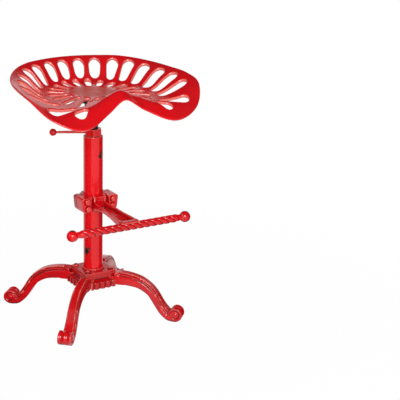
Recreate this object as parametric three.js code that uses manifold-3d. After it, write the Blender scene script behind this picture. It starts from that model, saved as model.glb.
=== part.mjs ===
// A height adjustable stool with a cast tractor seat, a scroll footed base and a clamped footrest.
// Millimetres. +X runs to the sitter's left, -Y is the front, where the footrest is, and +Z is up.
// The origin is at floor level under the middle of the whole outline, just in front of the column.

import * as THREE from 'three';
import { mergeVertices } from 'three/addons/utils/BufferGeometryUtils.js';
import Module from 'manifold-3d';

const wasm = await Module();
wasm.setup();

// Driving dimensions

const gap = 0.3;
const overrun = 4;
const columnSetBack = 14;

const tube = { radius: 24.15, wall: 3.2, top: 465.8, sides: 40 };
const flange = { width: 84, thickness: 6, top: 120.3 };
const weld = { reach: 4.2, height: 4.5 };
const bush = { length: 46, lipDepth: 2.5 };
const spindle = { radius: 12.5, rise: 95.2, length: 269, chamfer: 1.5 };
const stop = { radius: 19, height: 12 };
const nut = { acrossFlats: 38, height: 18, chamfer: 1.6 };
const lever = {
  azimuth: 157,
  height: 9,
  reach: 98,
  rootRadius: 4.2,
  tipRadius: 2.8,
  ballRadius: 9,
  socket: 6,
};

// The seat is left turned a little on its screw, as the stool stands
const seat = {
  turn: -2,
  halfWidth: 228,
  discRadius: 60,
  discRise: 109.7,
  rimRise: 59,
  thickness: 9,
  rimThickness: 3,
  padRadius: 54,
  padDepth: 3.6,
  ribWidth: 9,
  slotStart: 6,
  slotRadius: 14.5,
  shortSlotRadius: 8.5,
  slotEndShare: 0.42,
  slotFlareShare: 1.25,
};
const seatFlange = { radius: 50, thickness: 7, hubRadius: 21, hubHeight: 19 };
const seatBolt = { radius: 4, circle: 37, head: 6.5, headHeight: 5, grip: 8 };

const leg = { reach: 219, crest: 117.5, width: 28, edge: 3.4, rootStart: 22, rootDepth: 20, steps: 14 };
const foot = { radius: 18.6, width: 38, flat: 0.45, groove: 1.8, grooveWidth: 5 };
const hub = {
  slab: 9,
  apronTop: 100,
  apronReach: 48.5,
  apronWall: 9,
  lobes: 4,
  lobeRadius: 9,
  lobeBottom: 80,
};
const flangeBolt = { radius: 4, place: 32, head: 7, headHeight: 4.4, socket: 2.6, depth: 24 };

const clamp = {
  bottom: 280,
  height: 38,
  wall: 8.5,
  split: 6,
  lugInner: 22,
  lugOuter: 50,
  lugTaper: 4,
  lugFront: 39,
  backLug: 18,
  corner: 4,
};
const clampBolt = { radius: 4, offset: 35.5, low: 10.5, high: 29.5, head: 6.5, headHeight: 5, tail: 3 };
const arm = {
  ribSpread: 14,
  endSpread: 21,
  rib: 5.5,
  web: 7,
  rootDrop: 3,
  top: 302.5,
  end: 299,
};
const saddle = { halfLength: 26, wall: 8, depth: 12 };
const bar = {
  length: 306,
  height: 287.3,
  reach: 187.6,
  radius: 9.8,
  fluteDepth: 1.9,
  starts: 3,
  grooves: 16,
  neckRadius: 7.5,
  shoulder: 12,
};
const barBall = { radius: 13.8 };

// Outlines, as shares of the sizes above at every 15 degrees of azimuth, from the front to the back

const radiusShares = [0.76, 0.825, 1.03, 1.14, 1.127, 1.035, 0.943, 0.868, 0.807, 0.746, 0.706, 0.689, 0.684];
const azimuthStep = 15;

// Heights of the seat's upper face at every quarter of the way from the disc out to the rim
const levelShares = [
  [0.11, 0.08, 0.03, 0, 0, 0, 0, 0, 0.01, 0.02, 0.02, 0.02, 0.02],
  [0.37, 0.25, 0.04, -0.04, 0, 0.04, 0.06, 0.1, 0.13, 0.12, 0.14, 0.145, 0.145],
  [0.555, 0.28, -0.05, -0.07, 0.22, 0.41, 0.52, 0.625, 0.695, 0.73, 0.755, 0.76, 0.76],
  [0.31, -0.16, -0.59, -0.24, 0.46, 0.685, 0.76, 0.85, 0.935, 1, 1, 1, 1],
];

// The long slots on one side of the seat: azimuth in degrees and share of the rim's radius,
// at the inner end and at the outer end
const outerSlots = [
  { azimuths: [171, 170.5], shares: [0.71, 0.918] },
  { azimuths: [152.3, 153.2], shares: [0.7, 0.92] },
  { azimuths: [133.7, 134.8], shares: [0.68, 0.918] },
  { azimuths: [119.2, 119.8], shares: [0.655, 0.92] },
  { azimuths: [103.4, 104.8], shares: [0.63, 0.91] },
  { azimuths: [86, 91.2], shares: [0.605, 0.915] },
  { azimuths: [70, 79.3], shares: [0.587, 0.92] },
  { azimuths: [55, 67], shares: [0.6, 0.91] },
  { azimuths: [39, 50.5], shares: [0.68, 0.9] },
  { azimuths: [30.5, 35.5], shares: [0.76, 0.865] },
];

// The short slots all round the disc: share of the rim's radius at the outer end, from the front to the back
const innerEndShares = [0.62, 0.74, 0.63, 0.55, 0.53, 0.55, 0.58, 0.61, 0.66, 0.695, 0.7];

// Height and reach shares of the leg's upper and lower edges, from the root to the foot
const crestShares = [
  [0.345, 1], [0.45, 0.98], [0.59, 0.91], [0.7, 0.78],
  [0.77, 0.64], [0.82, 0.49], [0.865, 0.355], [0.925, 0.225],
];
const soffitShares = [
  [0.985, 0], [0.9, 0.03], [0.82, 0.15], [0.765, 0.29],
  [0.712, 0.44], [0.655, 0.57], [0.545, 0.68], [0.4, 0.72],
];

const red = { color: 0xc8141a, roughness: 0.28, metalness: 0.05 };
const black = { color: 0x1b1b1d, roughness: 0.45, metalness: 0.4 };
const steel = { color: 0x8d8f92, roughness: 0.4, metalness: 0.9 };

// Solids

const mergeTolerance = 1e-4;

function solid(geometry) {
  const bare = geometry.clone();
  for (const name of Object.keys(bare.attributes)) {
    if (name !== 'position') bare.deleteAttribute(name);
  }
  const merged = mergeVertices(bare, mergeTolerance);
  const index = merged.index.array;
  const at = merged.attributes.position.array;
  const faces = [];
  let volume = 0;
  for (let i = 0; i < index.length; i += 3) {
    const [a, b, c] = [index[i], index[i + 1], index[i + 2]];
    if (a === b || b === c || c === a) continue;
    faces.push([a, b, c]);
    const [p, q, r] = [a, b, c].map((k) => new THREE.Vector3().fromArray(at, 3 * k));
    volume += p.dot(q.cross(r));
  }
  const wound = volume < 0 ? faces.map(([a, b, c]) => [a, c, b]) : faces;
  return new wasm.Manifold(new wasm.Mesh({
    numProp: 3,
    vertProperties: new Float32Array(at),
    triVerts: new Uint32Array(wound.flat()),
  }));
}

function geometryOf(body) {
  const mesh = body.getMesh();
  const geometry = new THREE.BufferGeometry();
  geometry.setAttribute('position', new THREE.BufferAttribute(new Float32Array(mesh.vertProperties), 3));
  geometry.setIndex(new THREE.BufferAttribute(new Uint32Array(mesh.triVerts), 1));
  const flat = geometry.toNonIndexed();
  flat.computeVertexNormals();
  return flat;
}

const union = (bodies) => bodies.reduce((all, body) => all.add(body));
const cut = (body, tools) => tools.reduce((rest, tool) => rest.subtract(tool), body);

function moved(geometry, x, y, z) {
  return geometry.clone().translate(x, y, z);
}

function turned(geometry, degrees) {
  return geometry.clone().rotateZ(THREE.MathUtils.degToRad(degrees));
}

// A turned solid about +Z from a profile of [radius, height] pairs
function lathe(profile, sides) {
  const points = profile.map(([radius, height]) => new THREE.Vector2(radius, height));
  return new THREE.LatheGeometry(points, sides).rotateX(Math.PI / 2);
}

// A cylinder about +Z between two heights, with chamfered ends
function rod(radius, bottom, top, sides, chamfer = 0) {
  if (chamfer === 0) return lathe([[0, bottom], [radius, bottom], [radius, top], [0, top]], sides);
  return lathe([
    [0, bottom], [radius - chamfer, bottom], [radius, bottom + chamfer],
    [radius, top - chamfer], [radius - chamfer, top], [0, top],
  ], sides);
}

function tubeSolid(inner, outer, bottom, top, sides) {
  return lathe([[inner, bottom], [outer, bottom], [outer, top], [inner, top], [inner, bottom]], sides);
}

// A prism of a closed outline of [x, y] pairs between two heights
function prism(outline, bottom, top) {
  const shape = new THREE.Shape(outline.map(([x, y]) => new THREE.Vector2(x, y)));
  return moved(new THREE.ExtrudeGeometry(shape, { depth: top - bottom, bevelEnabled: false }), 0, 0, bottom);
}

function box(x0, x1, y0, y1, z0, z1) {
  return prism([[x0, y0], [x1, y0], [x1, y1], [x0, y1]], z0, z1);
}

// A prism of an outline of [y, z] pairs that runs along X between two places
function slab(outline, x0, x1) {
  const shape = new THREE.Shape(outline.map(([y, z]) => new THREE.Vector2(y, z)));
  const body = new THREE.ExtrudeGeometry(shape, { depth: x1 - x0, bevelEnabled: false });
  return moved(body.rotateY(Math.PI / 2).rotateX(Math.PI / 2), x0, 0, 0);
}

// A closed skin through rings of points, with the first and last ring capped
function loft(rings) {
  const count = rings[0].length;
  const points = rings.flat();
  const index = [];
  for (let i = 0; i + 1 < rings.length; i += 1) {
    for (let j = 0; j < count; j += 1) {
      const [a, b] = [i * count + j, i * count + ((j + 1) % count)];
      index.push(a, b, b + count, a, b + count, a + count);
    }
  }
  const last = (rings.length - 1) * count;
  for (let j = 1; j + 1 < count; j += 1) {
    index.push(0, j + 1, j);
    index.push(last, last + j, last + j + 1);
  }
  const geometry = new THREE.BufferGeometry().setFromPoints(points);
  geometry.setIndex(index);
  return geometry;
}

const model = new THREE.Group();

function add(name, body, look) {
  const mesh = new THREE.Mesh(geometryOf(body), new THREE.MeshStandardMaterial(look));
  mesh.name = name;
  model.add(mesh);
}

// Column

const flangeBottom = flange.top - flange.thickness;
const boltPlaces = [[1, -1], [-1, -1], [-1, 1], [1, 1]];
const cornerNames = ['front_left', 'front_right', 'back_right', 'back_left'];

function buildColumn() {
  const bore = tube.radius - tube.wall;
  add('column_tube', solid(tubeSolid(bore, tube.radius, flangeBottom, tube.top, tube.sides)), red);

  const half = flange.width / 2;
  const holes = boltPlaces.map(([x, y]) => solid(moved(
    rod(flangeBolt.radius + gap, flangeBottom - overrun, flange.top + overrun, 16),
    x * flangeBolt.place, y * flangeBolt.place, 0,
  )));
  const tubeHole = solid(rod(tube.radius + gap, flangeBottom - overrun, flange.top + overrun, tube.sides));
  const plate = solid(box(-half, half, -half, half, flangeBottom, flange.top));
  add('flange_plate', cut(plate, [tubeHole, ...holes]), red);

  const inside = tube.radius + gap;
  const base = flange.top + gap;
  add('column_weld', solid(lathe([
    [inside, base], [inside + weld.reach, base], [inside + weld.reach * 0.8, base + weld.height * 0.45],
    [inside, base + weld.height], [inside, base],
  ], tube.sides)), red);

  const bushBottom = tube.top - bush.length;
  const bushTop = tube.top - bush.lipDepth;
  add('column_bush', solid(tubeSolid(spindle.radius + gap, bore - gap, bushBottom, bushTop, 32)), steel);
}

// Spindle, lock nut and lever

const nutBottom = tube.top + gap;
const nutMiddle = nutBottom + lever.height;
const nutFlat = nut.acrossFlats / 2;

const spindleTop = tube.top + spindle.rise;
const spindleBottom = spindleTop - spindle.length;

function buildSpindle() {
  add('spindle', solid(rod(spindle.radius, spindleBottom, spindleTop, 28, spindle.chamfer)), black);

  const collarBottom = spindleBottom + spindle.chamfer + gap;
  add('spindle_stop', solid(tubeSolid(
    spindle.radius + gap, stop.radius, collarBottom, collarBottom + stop.height, 28,
  )), steel);
}

function buildLockNut() {
  const corner = nutFlat / Math.cos(Math.PI / 6);
  const top = nutBottom + nut.height;
  const round = solid(lathe([
    [0, nutBottom], [corner - nut.chamfer, nutBottom], [corner, nutBottom + nut.chamfer],
    [corner, top - nut.chamfer], [corner - nut.chamfer, top], [0, top],
  ], 36));
  const bore = solid(rod(spindle.radius + gap, nutBottom - overrun, top + overrun, 28));
  const along = (radius, from, to, sides) => solid(moved(
    turned(rod(radius, from, to, sides).rotateY(Math.PI / 2), lever.azimuth), 0, 0, nutMiddle,
  ));
  const socket = along(lever.rootRadius + gap, nutFlat - lever.socket, nutFlat + overrun, 16);
  const blank = solid(prism(hexagon(nutFlat, lever.azimuth + 30), nutBottom, top)).intersect(round);
  add('lock_nut', cut(blank, [bore, socket]), red);

  const root = nutFlat - lever.socket + gap;
  const tip = lever.reach - lever.ballRadius * 0.45;
  const shaft = lathe([
    [0, root], [lever.rootRadius, root], [lever.rootRadius, nutFlat + lever.rootRadius],
    [lever.tipRadius, tip], [0, tip],
  ], 16).rotateY(Math.PI / 2);
  add('lock_lever', solid(moved(turned(shaft, lever.azimuth), 0, 0, nutMiddle)), red);

  const ball = solid(new THREE.SphereGeometry(lever.ballRadius, 16, 10));
  const socketEnd = lever.ballRadius * 0.45 - gap;
  const ballSocket = rod(lever.tipRadius + gap, -lever.ballRadius - overrun, -socketEnd, 16);
  const drilled = ball.subtract(solid(ballSocket.rotateY(Math.PI / 2)));
  const knob = moved(geometryOf(drilled), lever.reach, 0, nutMiddle);
  add('lever_ball', solid(turned(knob, lever.azimuth)), red);
}

// Seat

const discTop = tube.top + seat.discRise;

// A smooth join from one value to the next, with a slope at each
function smoothJoin(from, to, leaving, arriving, t) {
  const step = to - from;
  return from + t * leaving + t * t * (3 * step - 2 * leaving - arriving)
    + t * t * t * (leaving + arriving - 2 * step);
}

// A value at an azimuth in degrees, through the shares with smooth joins
function atAzimuth(shares, azimuth) {
  const last = shares.length - 1;
  const along = Math.abs(azimuth) / azimuthStep;
  const k = Math.min(Math.floor(along), last - 1);
  const value = (i) => shares[i < 0 ? -i : i > last ? 2 * last - i : i];
  const [a, b, c, d] = [value(k - 1), value(k), value(k + 1), value(k + 2)];
  return smoothJoin(b, c, (c - a) / 2, (d - b) / 2, along - k);
}

const rimRadius = (azimuth) => seat.halfWidth * atAzimuth(radiusShares, azimuth);

// Height of the seat's upper face, at a share of the way from the disc to the rim
function seatHeight(azimuth, share) {
  const levels = [0, ...levelShares.map((row) => atAzimuth(row, azimuth))];
  const last = levels.length - 1;
  const k = Math.min(Math.floor(share * last), last - 1);
  const leaving = k === 0 ? 0 : (levels[k + 1] - levels[k - 1]) / 2;
  const arriving = k === last - 1
    ? Math.min(levels[last] - levels[last - 1], 0)
    : (levels[k + 2] - levels[k]) / 2;
  return discTop + seat.rimRise * smoothJoin(levels[k], levels[k + 1], leaving, arriving, share * last - k);
}

function seatPoint(azimuth, radius, height) {
  const angle = THREE.MathUtils.degToRad(azimuth);
  return new THREE.Vector3(radius * Math.sin(angle), -radius * Math.cos(angle), height);
}

// Outline of a slot with round ends of two radii
function slotOutline(from, fromRadius, to, toRadius) {
  const along = to.clone().sub(from);
  const heading = Math.atan2(along.y, along.x);
  const lean = Math.asin((toRadius - fromRadius) / along.length());
  const outline = [];
  const steps = 4;
  const arc = (centre, radius, start, end) => {
    for (let i = 0; i <= steps; i += 1) {
      const angle = start + ((end - start) * i) / steps;
      outline.push([centre.x + radius * Math.cos(angle), centre.y + radius * Math.sin(angle)]);
    }
  };
  const quarter = Math.PI / 2;
  arc(to, toRadius, heading - quarter - lean, heading + quarter + lean);
  arc(from, fromRadius, heading + quarter + lean, heading + 3 * quarter - lean);
  return outline;
}

// How far a point lies from the line through two others, in plan
function offLine(point, from, to) {
  const along = to.clone().sub(from).normalize();
  return Math.abs(point.clone().sub(from).cross(along).z);
}

function seatSlots() {
  const low = discTop - seat.rimRise * 2;
  const high = discTop + seat.rimRise * 2;
  const tools = [];
  const addSlot = (inner, outer, innerRoom, outerRoom, widest) => {
    const way = outer.clone().sub(inner);
    const longest = Math.min(way.length() * seat.slotEndShare, widest);
    const innerRadius = Math.min((innerRoom - seat.ribWidth) / 2, longest);
    const outerRadius = Math.min((outerRoom - seat.ribWidth) / 2, longest);
    way.normalize();
    const from = inner.clone().addScaledVector(way, innerRadius);
    const to = outer.clone().addScaledVector(way, -outerRadius);
    tools.push(solid(prism(slotOutline(from, innerRadius, to, outerRadius), low, high)));
  };
  const lines = outerSlots.map(({ azimuths, shares }) => azimuths.map(
    (azimuth, end) => seatPoint(azimuth, rimRadius(azimuth) * shares[end], 0),
  ));
  const mirrored = (v) => new THREE.Vector3(-v.x, v.y, v.z);
  const across = lines[0].map(mirrored);
  lines.forEach(([inner, outer], k) => {
    const beside = [k === 0 ? across : lines[k - 1], lines[k + 1] ?? lines[k - 1]];
    const room = (point) => Math.min(...beside.map(([from, to]) => offLine(point, from, to)));
    addSlot(inner, outer, room(inner), room(outer), seat.slotRadius);
    addSlot(mirrored(inner), mirrored(outer), room(inner), room(outer), seat.slotRadius);
  });
  const count = 2 * (innerEndShares.length - 1);
  const pitch = 360 / count;
  const chord = (radius) => 2 * radius * Math.sin(Math.PI / count);
  for (let k = 0; k < count; k += 1) {
    const place = Math.min(k, count - k);
    const start = seat.discRadius + seat.slotStart;
    const end = rimRadius(place * pitch) * innerEndShares[place];
    const room = chord(start);
    const ends = [start, end].map((radius) => seatPoint(k * pitch, radius, 0));
    addSlot(...ends, room, room * seat.slotFlareShare, seat.shortSlotRadius);
  }
  return tools;
}

function seatShell() {
  const columns = 60;
  const rows = [0, 0.25, 0.45, 0.6, 0.75, 0.88, 1];
  const upper = [];
  const lower = [];
  for (const share of rows) {
    const upperRing = [];
    const lowerRing = [];
    for (let i = 0; i < columns; i += 1) {
      const azimuth = (360 * i) / columns;
      const folded = azimuth > 180 ? 360 - azimuth : azimuth;
      const radius = seat.discRadius + share * (rimRadius(folded) - seat.discRadius);
      const height = seatHeight(folded, share);
      const depth = share === 1 ? seat.rimThickness : seat.thickness;
      const inset = seat.thickness - depth;
      upperRing.push(seatPoint(azimuth, radius, height));
      lowerRing.push(seatPoint(azimuth, radius - inset, height - depth));
    }
    upper.push(upperRing);
    lower.push(lowerRing);
  }
  return solid(loft([...lower, ...upper.reverse()]));
}

const padBottom = discTop - seat.thickness - seat.padDepth;
const seatFlangeTop = padBottom - gap;
const seatBoltPlaces = [45, 135, 225, 315].map((degrees) => {
  const angle = THREE.MathUtils.degToRad(degrees);
  return [seatBolt.circle * Math.cos(angle), seatBolt.circle * Math.sin(angle)];
});

function buildSeat() {
  const padTop = discTop - seat.thickness / 2;
  const pad = solid(lathe([
    [0, padBottom], [seat.padRadius, padBottom], [seat.padRadius + seat.padDepth / 2, padTop], [0, padTop],
  ], 32));
  const boltHoles = seatBoltPlaces.map(([x, y]) => solid(moved(
    rod(seatBolt.radius + gap, padBottom - overrun, padBottom + seatBolt.grip + gap, 16), x, y, 0,
  )));
  const pan = cut(seatShell(), seatSlots()).add(pad);
  add('seat_pan', solid(turned(geometryOf(pan), seat.turn)).subtract(union(boltHoles)), red);

  const plateBottom = seatFlangeTop - seatFlange.thickness;
  const hubBottom = plateBottom - seatFlange.hubHeight;
  const blank = solid(lathe([
    [0, hubBottom], [seatFlange.hubRadius, hubBottom], [seatFlange.hubRadius, plateBottom],
    [seatFlange.radius, plateBottom], [seatFlange.radius, seatFlangeTop], [0, seatFlangeTop],
  ], 40));
  const bore = solid(rod(spindle.radius + gap, hubBottom - overrun, spindleTop + gap, 28));
  const holes = seatBoltPlaces.map(([x, y]) => solid(moved(
    rod(seatBolt.radius + gap, plateBottom - overrun, seatFlangeTop + overrun, 16), x, y, 0,
  )));
  add('seat_flange', cut(blank, [bore, ...holes]), black);

  seatBoltPlaces.forEach(([x, y], k) => {
    const headTop = plateBottom - gap;
    const length = padBottom + seatBolt.grip - headTop;
    const body = hexBolt(seatBolt.radius, seatBolt.head, seatBolt.headHeight, length);
    add(`seat_bolt_${k + 1}`, solid(moved(body, x, y, headTop)), steel);
  });
}

// A regular hexagon outline with flats at the given distance from its centre, turned by some degrees
function hexagon(flat, turn = 0) {
  const corner = flat / Math.cos(Math.PI / 6);
  return [0, 1, 2, 3, 4, 5].map((k) => {
    const angle = THREE.MathUtils.degToRad(turn) + (k * Math.PI) / 3;
    return [corner * Math.cos(angle), corner * Math.sin(angle)];
  });
}

// A hexagon head bolt along +Z, with its head below zero
function hexBolt(radius, flat, headHeight, length) {
  const head = solid(prism(hexagon(flat), -headHeight, 0));
  const shank = solid(rod(radius, -headHeight / 2, length, 16));
  return geometryOf(head.add(shank));
}

// Base

const slabTop = flangeBottom - gap;
const slabBottom = slabTop - hub.slab;
const rootTop = slabBottom - gap;
const hubHalf = flange.width / 2;

// The leg's side outline, as [reach, height] pairs
function legOutline() {
  const at = ([reach, height]) => new THREE.Vector2(leg.reach * reach, leg.crest * height);
  const crest = new THREE.SplineCurve(crestShares.map(at)).getPoints(leg.steps);
  const soffit = new THREE.SplineCurve(soffitShares.map(at)).getPoints(leg.steps);
  const hubCorner = hubHalf * Math.SQRT2 + gap;
  const root = [
    [leg.rootStart, rootTop - leg.rootDepth], [leg.rootStart, rootTop],
    [hubCorner, rootTop], [hubCorner, slabTop],
  ];
  return [...root, ...crest.map((p) => [p.x, p.y]), ...soffit.map((p) => [p.x, p.y])];
}

function buildLegs() {
  const centre = foot.radius - foot.flat;
  const outline = legOutline().map(([reach, height]) => new THREE.Vector2(reach, height));
  const blade = new THREE.ExtrudeGeometry(new THREE.Shape(outline), {
    depth: leg.width - 2 * leg.edge,
    bevelEnabled: true,
    bevelThickness: leg.edge,
    bevelSize: leg.edge,
    bevelOffset: -leg.edge,
    bevelSegments: 1,
  });
  const upright = moved(blade, 0, 0, leg.edge - leg.width / 2).rotateX(Math.PI / 2);
  const half = foot.width / 2;
  const land = (foot.width - 2 * foot.grooveWidth) / 3;
  const deep = foot.radius - foot.groove;
  const [near, middle, far] = [land / 2, (foot.grooveWidth + land) / 2, foot.grooveWidth + land / 2];
  const scroll = lathe([
    [0, -half], [foot.radius - leg.edge, -half], [foot.radius, leg.edge - half],
    [foot.radius, -far], [deep, -middle], [foot.radius, -near],
    [foot.radius, near], [deep, middle], [foot.radius, far],
    [foot.radius, half - leg.edge], [foot.radius - leg.edge, half], [0, half],
  ], 24).rotateX(Math.PI / 2);
  const floor = solid(box(0, leg.reach + 2 * foot.radius, -foot.width, foot.width, -foot.radius, 0));
  const hole = solid(moved(
    rod(flangeBolt.radius + gap, flange.top - flangeBolt.depth - gap, flange.top, 16),
    flangeBolt.place * Math.SQRT2, 0, 0,
  ));
  const body = cut(solid(upright).add(solid(moved(scroll, leg.reach, 0, centre))), [floor, hole]);
  boltPlaces.forEach(([x, y], k) => {
    const heading = THREE.MathUtils.radToDeg(Math.atan2(y, x));
    add(`leg_${cornerNames[k]}`, solid(turned(geometryOf(body), heading)), red);
  });
}

function buildHub() {
  const block = [solid(box(-hubHalf, hubHalf, -hubHalf, hubHalf, slabBottom, slabTop))];
  const pitch = hub.lobeRadius * 1.92;
  for (const heading of [0, 90, 180, 270]) {
    const inside = hubHalf - hub.apronWall;
    const wall = slab([
      [-inside, hub.lobeBottom + hub.lobeRadius / 2], [-inside, slabBottom + hub.slab / 2],
      [-hubHalf, slabBottom + hub.slab / 2], [-hub.apronReach - hub.lobeRadius * 0.35, hub.apronTop],
      [-hub.apronReach, hub.lobeBottom + hub.lobeRadius / 2],
    ], -hub.apronReach, hub.apronReach);
    block.push(solid(turned(wall, heading)));
    for (let k = 0; k < hub.lobes; k += 1) {
      const side = (k - (hub.lobes - 1) / 2) * pitch;
      const r = hub.lobeRadius;
      const lobe = lathe([
        [0, hub.lobeBottom], [r * 0.78, hub.lobeBottom + r * 0.12], [r, hub.lobeBottom + r * 0.45],
        [r, hub.apronTop - r * 0.5], [r * 0.7, hub.apronTop], [0, hub.apronTop + r * 0.3],
      ], 10);
      block.push(solid(turned(moved(lobe, side, -hub.apronReach, 0), heading)));
    }
  }
  const reach = hubHalf * 2;
  const half = leg.width / 2 + gap;
  const tools = boltPlaces.map(([x, y]) => {
    const heading = THREE.MathUtils.radToDeg(Math.atan2(y, x));
    const low = hub.lobeBottom - overrun;
    const root = box(leg.rootStart - gap, reach, -half, half, low, slabBottom);
    const outside = box(hubHalf * Math.SQRT2, reach, -half, half, low, slabTop + overrun);
    const hole = moved(
      rod(flangeBolt.radius + gap, slabBottom - overrun, slabTop + overrun, 16),
      flangeBolt.place * Math.SQRT2, 0, 0,
    );
    return [root, outside, hole].map((tool) => solid(turned(tool, heading)));
  });
  const core = solid(box(
    -hubHalf + hub.apronWall, hubHalf - hub.apronWall, -hubHalf + hub.apronWall, hubHalf - hub.apronWall,
    hub.lobeBottom - overrun, slabBottom,
  ));
  add('base_hub', cut(union(block), [...tools.flat(), core]), red);

  boltPlaces.forEach(([x, y], k) => {
    const under = flange.top + gap;
    const blank = solid(lathe([
      [0, flange.top - flangeBolt.depth], [flangeBolt.radius, flange.top - flangeBolt.depth],
      [flangeBolt.radius, under], [flangeBolt.head, under],
      [flangeBolt.head, under + flangeBolt.headHeight * 0.35],
      [flangeBolt.head * 0.72, under + flangeBolt.headHeight * 0.85],
      [flangeBolt.head * 0.4, under + flangeBolt.headHeight], [0, under + flangeBolt.headHeight],
    ], 20));
    const socket = solid(rod(
      flangeBolt.socket, under + flangeBolt.headHeight * 0.4, under + flangeBolt.headHeight + overrun, 6,
    ));
    const body = geometryOf(blank.subtract(socket));
    add(`flange_bolt_${k + 1}`, solid(moved(body, x * flangeBolt.place, y * flangeBolt.place, 0)), red);
  });
}

// Footrest

const clampTop = clamp.bottom + clamp.height;
const clampBore = tube.radius + gap;
const clampRing = clampBore + clamp.wall;

const clampBackFace = clamp.backLug - clamp.split;
const clampNutCorner = clampBolt.head / Math.cos(Math.PI / 6);

// Places of the clamp's bolts, as [x, z] pairs
const clampBoltPlaces = [-1, 1].flatMap((side) => [
  [side * (clampBolt.offset - clamp.lugTaper / 2), clamp.bottom + clampBolt.low],
  [side * clampBolt.offset, clamp.bottom + clampBolt.high],
]);

// Bores along Y at every bolt of the clamp, between two places
function clampBores(radius, from, to) {
  const bore = rod(radius, from, to, 16).rotateX(-Math.PI / 2);
  return clampBoltPlaces.map(([x, z]) => solid(moved(bore, x, 0, z)));
}

// One lug in front view, as [x, z] pairs for the given side
function lugPrism(side, from, to) {
  const outer = clamp.lugOuter;
  const shape = new THREE.Shape([
    [0, clamp.bottom], [outer - clamp.lugTaper - clamp.corner, clamp.bottom],
    [outer - clamp.lugTaper, clamp.bottom + clamp.corner],
    [outer, clampTop - clamp.corner * 2], [outer - clamp.corner, clampTop], [0, clampTop],
  ].map(([x, z]) => new THREE.Vector2(side * x, z)));
  const body = new THREE.ExtrudeGeometry(shape, { depth: to - from, bevelEnabled: false });
  return moved(body.rotateX(Math.PI / 2), 0, to, 0);
}

// Top and bottom heights of the arm's ribs along its reach, as [reach, top, bottom, spread]
function armStations() {
  const start = clampRing - clamp.wall / 2;
  const end = bar.reach - saddle.depth * 0.6;
  const at = (share) => start + share * (end - start);
  const rootTop = clampTop - gap;
  const rootBottom = clamp.bottom + arm.rootDrop;
  const drop = arm.top - rootBottom;
  return [
    [start, rootTop, rootBottom, 0],
    [at(0.06), rootTop, rootBottom + drop * 0.04, 0],
    [at(0.14), arm.top + (rootTop - arm.top) * 0.25, rootBottom + drop * 0.22, 0],
    [at(0.3), arm.top, rootBottom + drop * 0.46, 0.1],
    [at(0.45), arm.top - drop * 0.04, rootBottom + drop * 0.5, 0.25],
    [at(0.62), arm.top - drop * 0.12, rootBottom + drop * 0.44, 0.45],
    [at(0.8), arm.end + drop * 0.04, rootBottom + drop * 0.26, 0.75],
    [end, arm.end, rootBottom + drop * 0.12, 1],
  ];
}

function armRing(reach, top, bottom, inner, outer) {
  return [[inner, bottom], [outer, bottom], [outer, top], [inner, top]]
    .map(([x, z]) => new THREE.Vector3(x, -reach, z));
}

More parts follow.
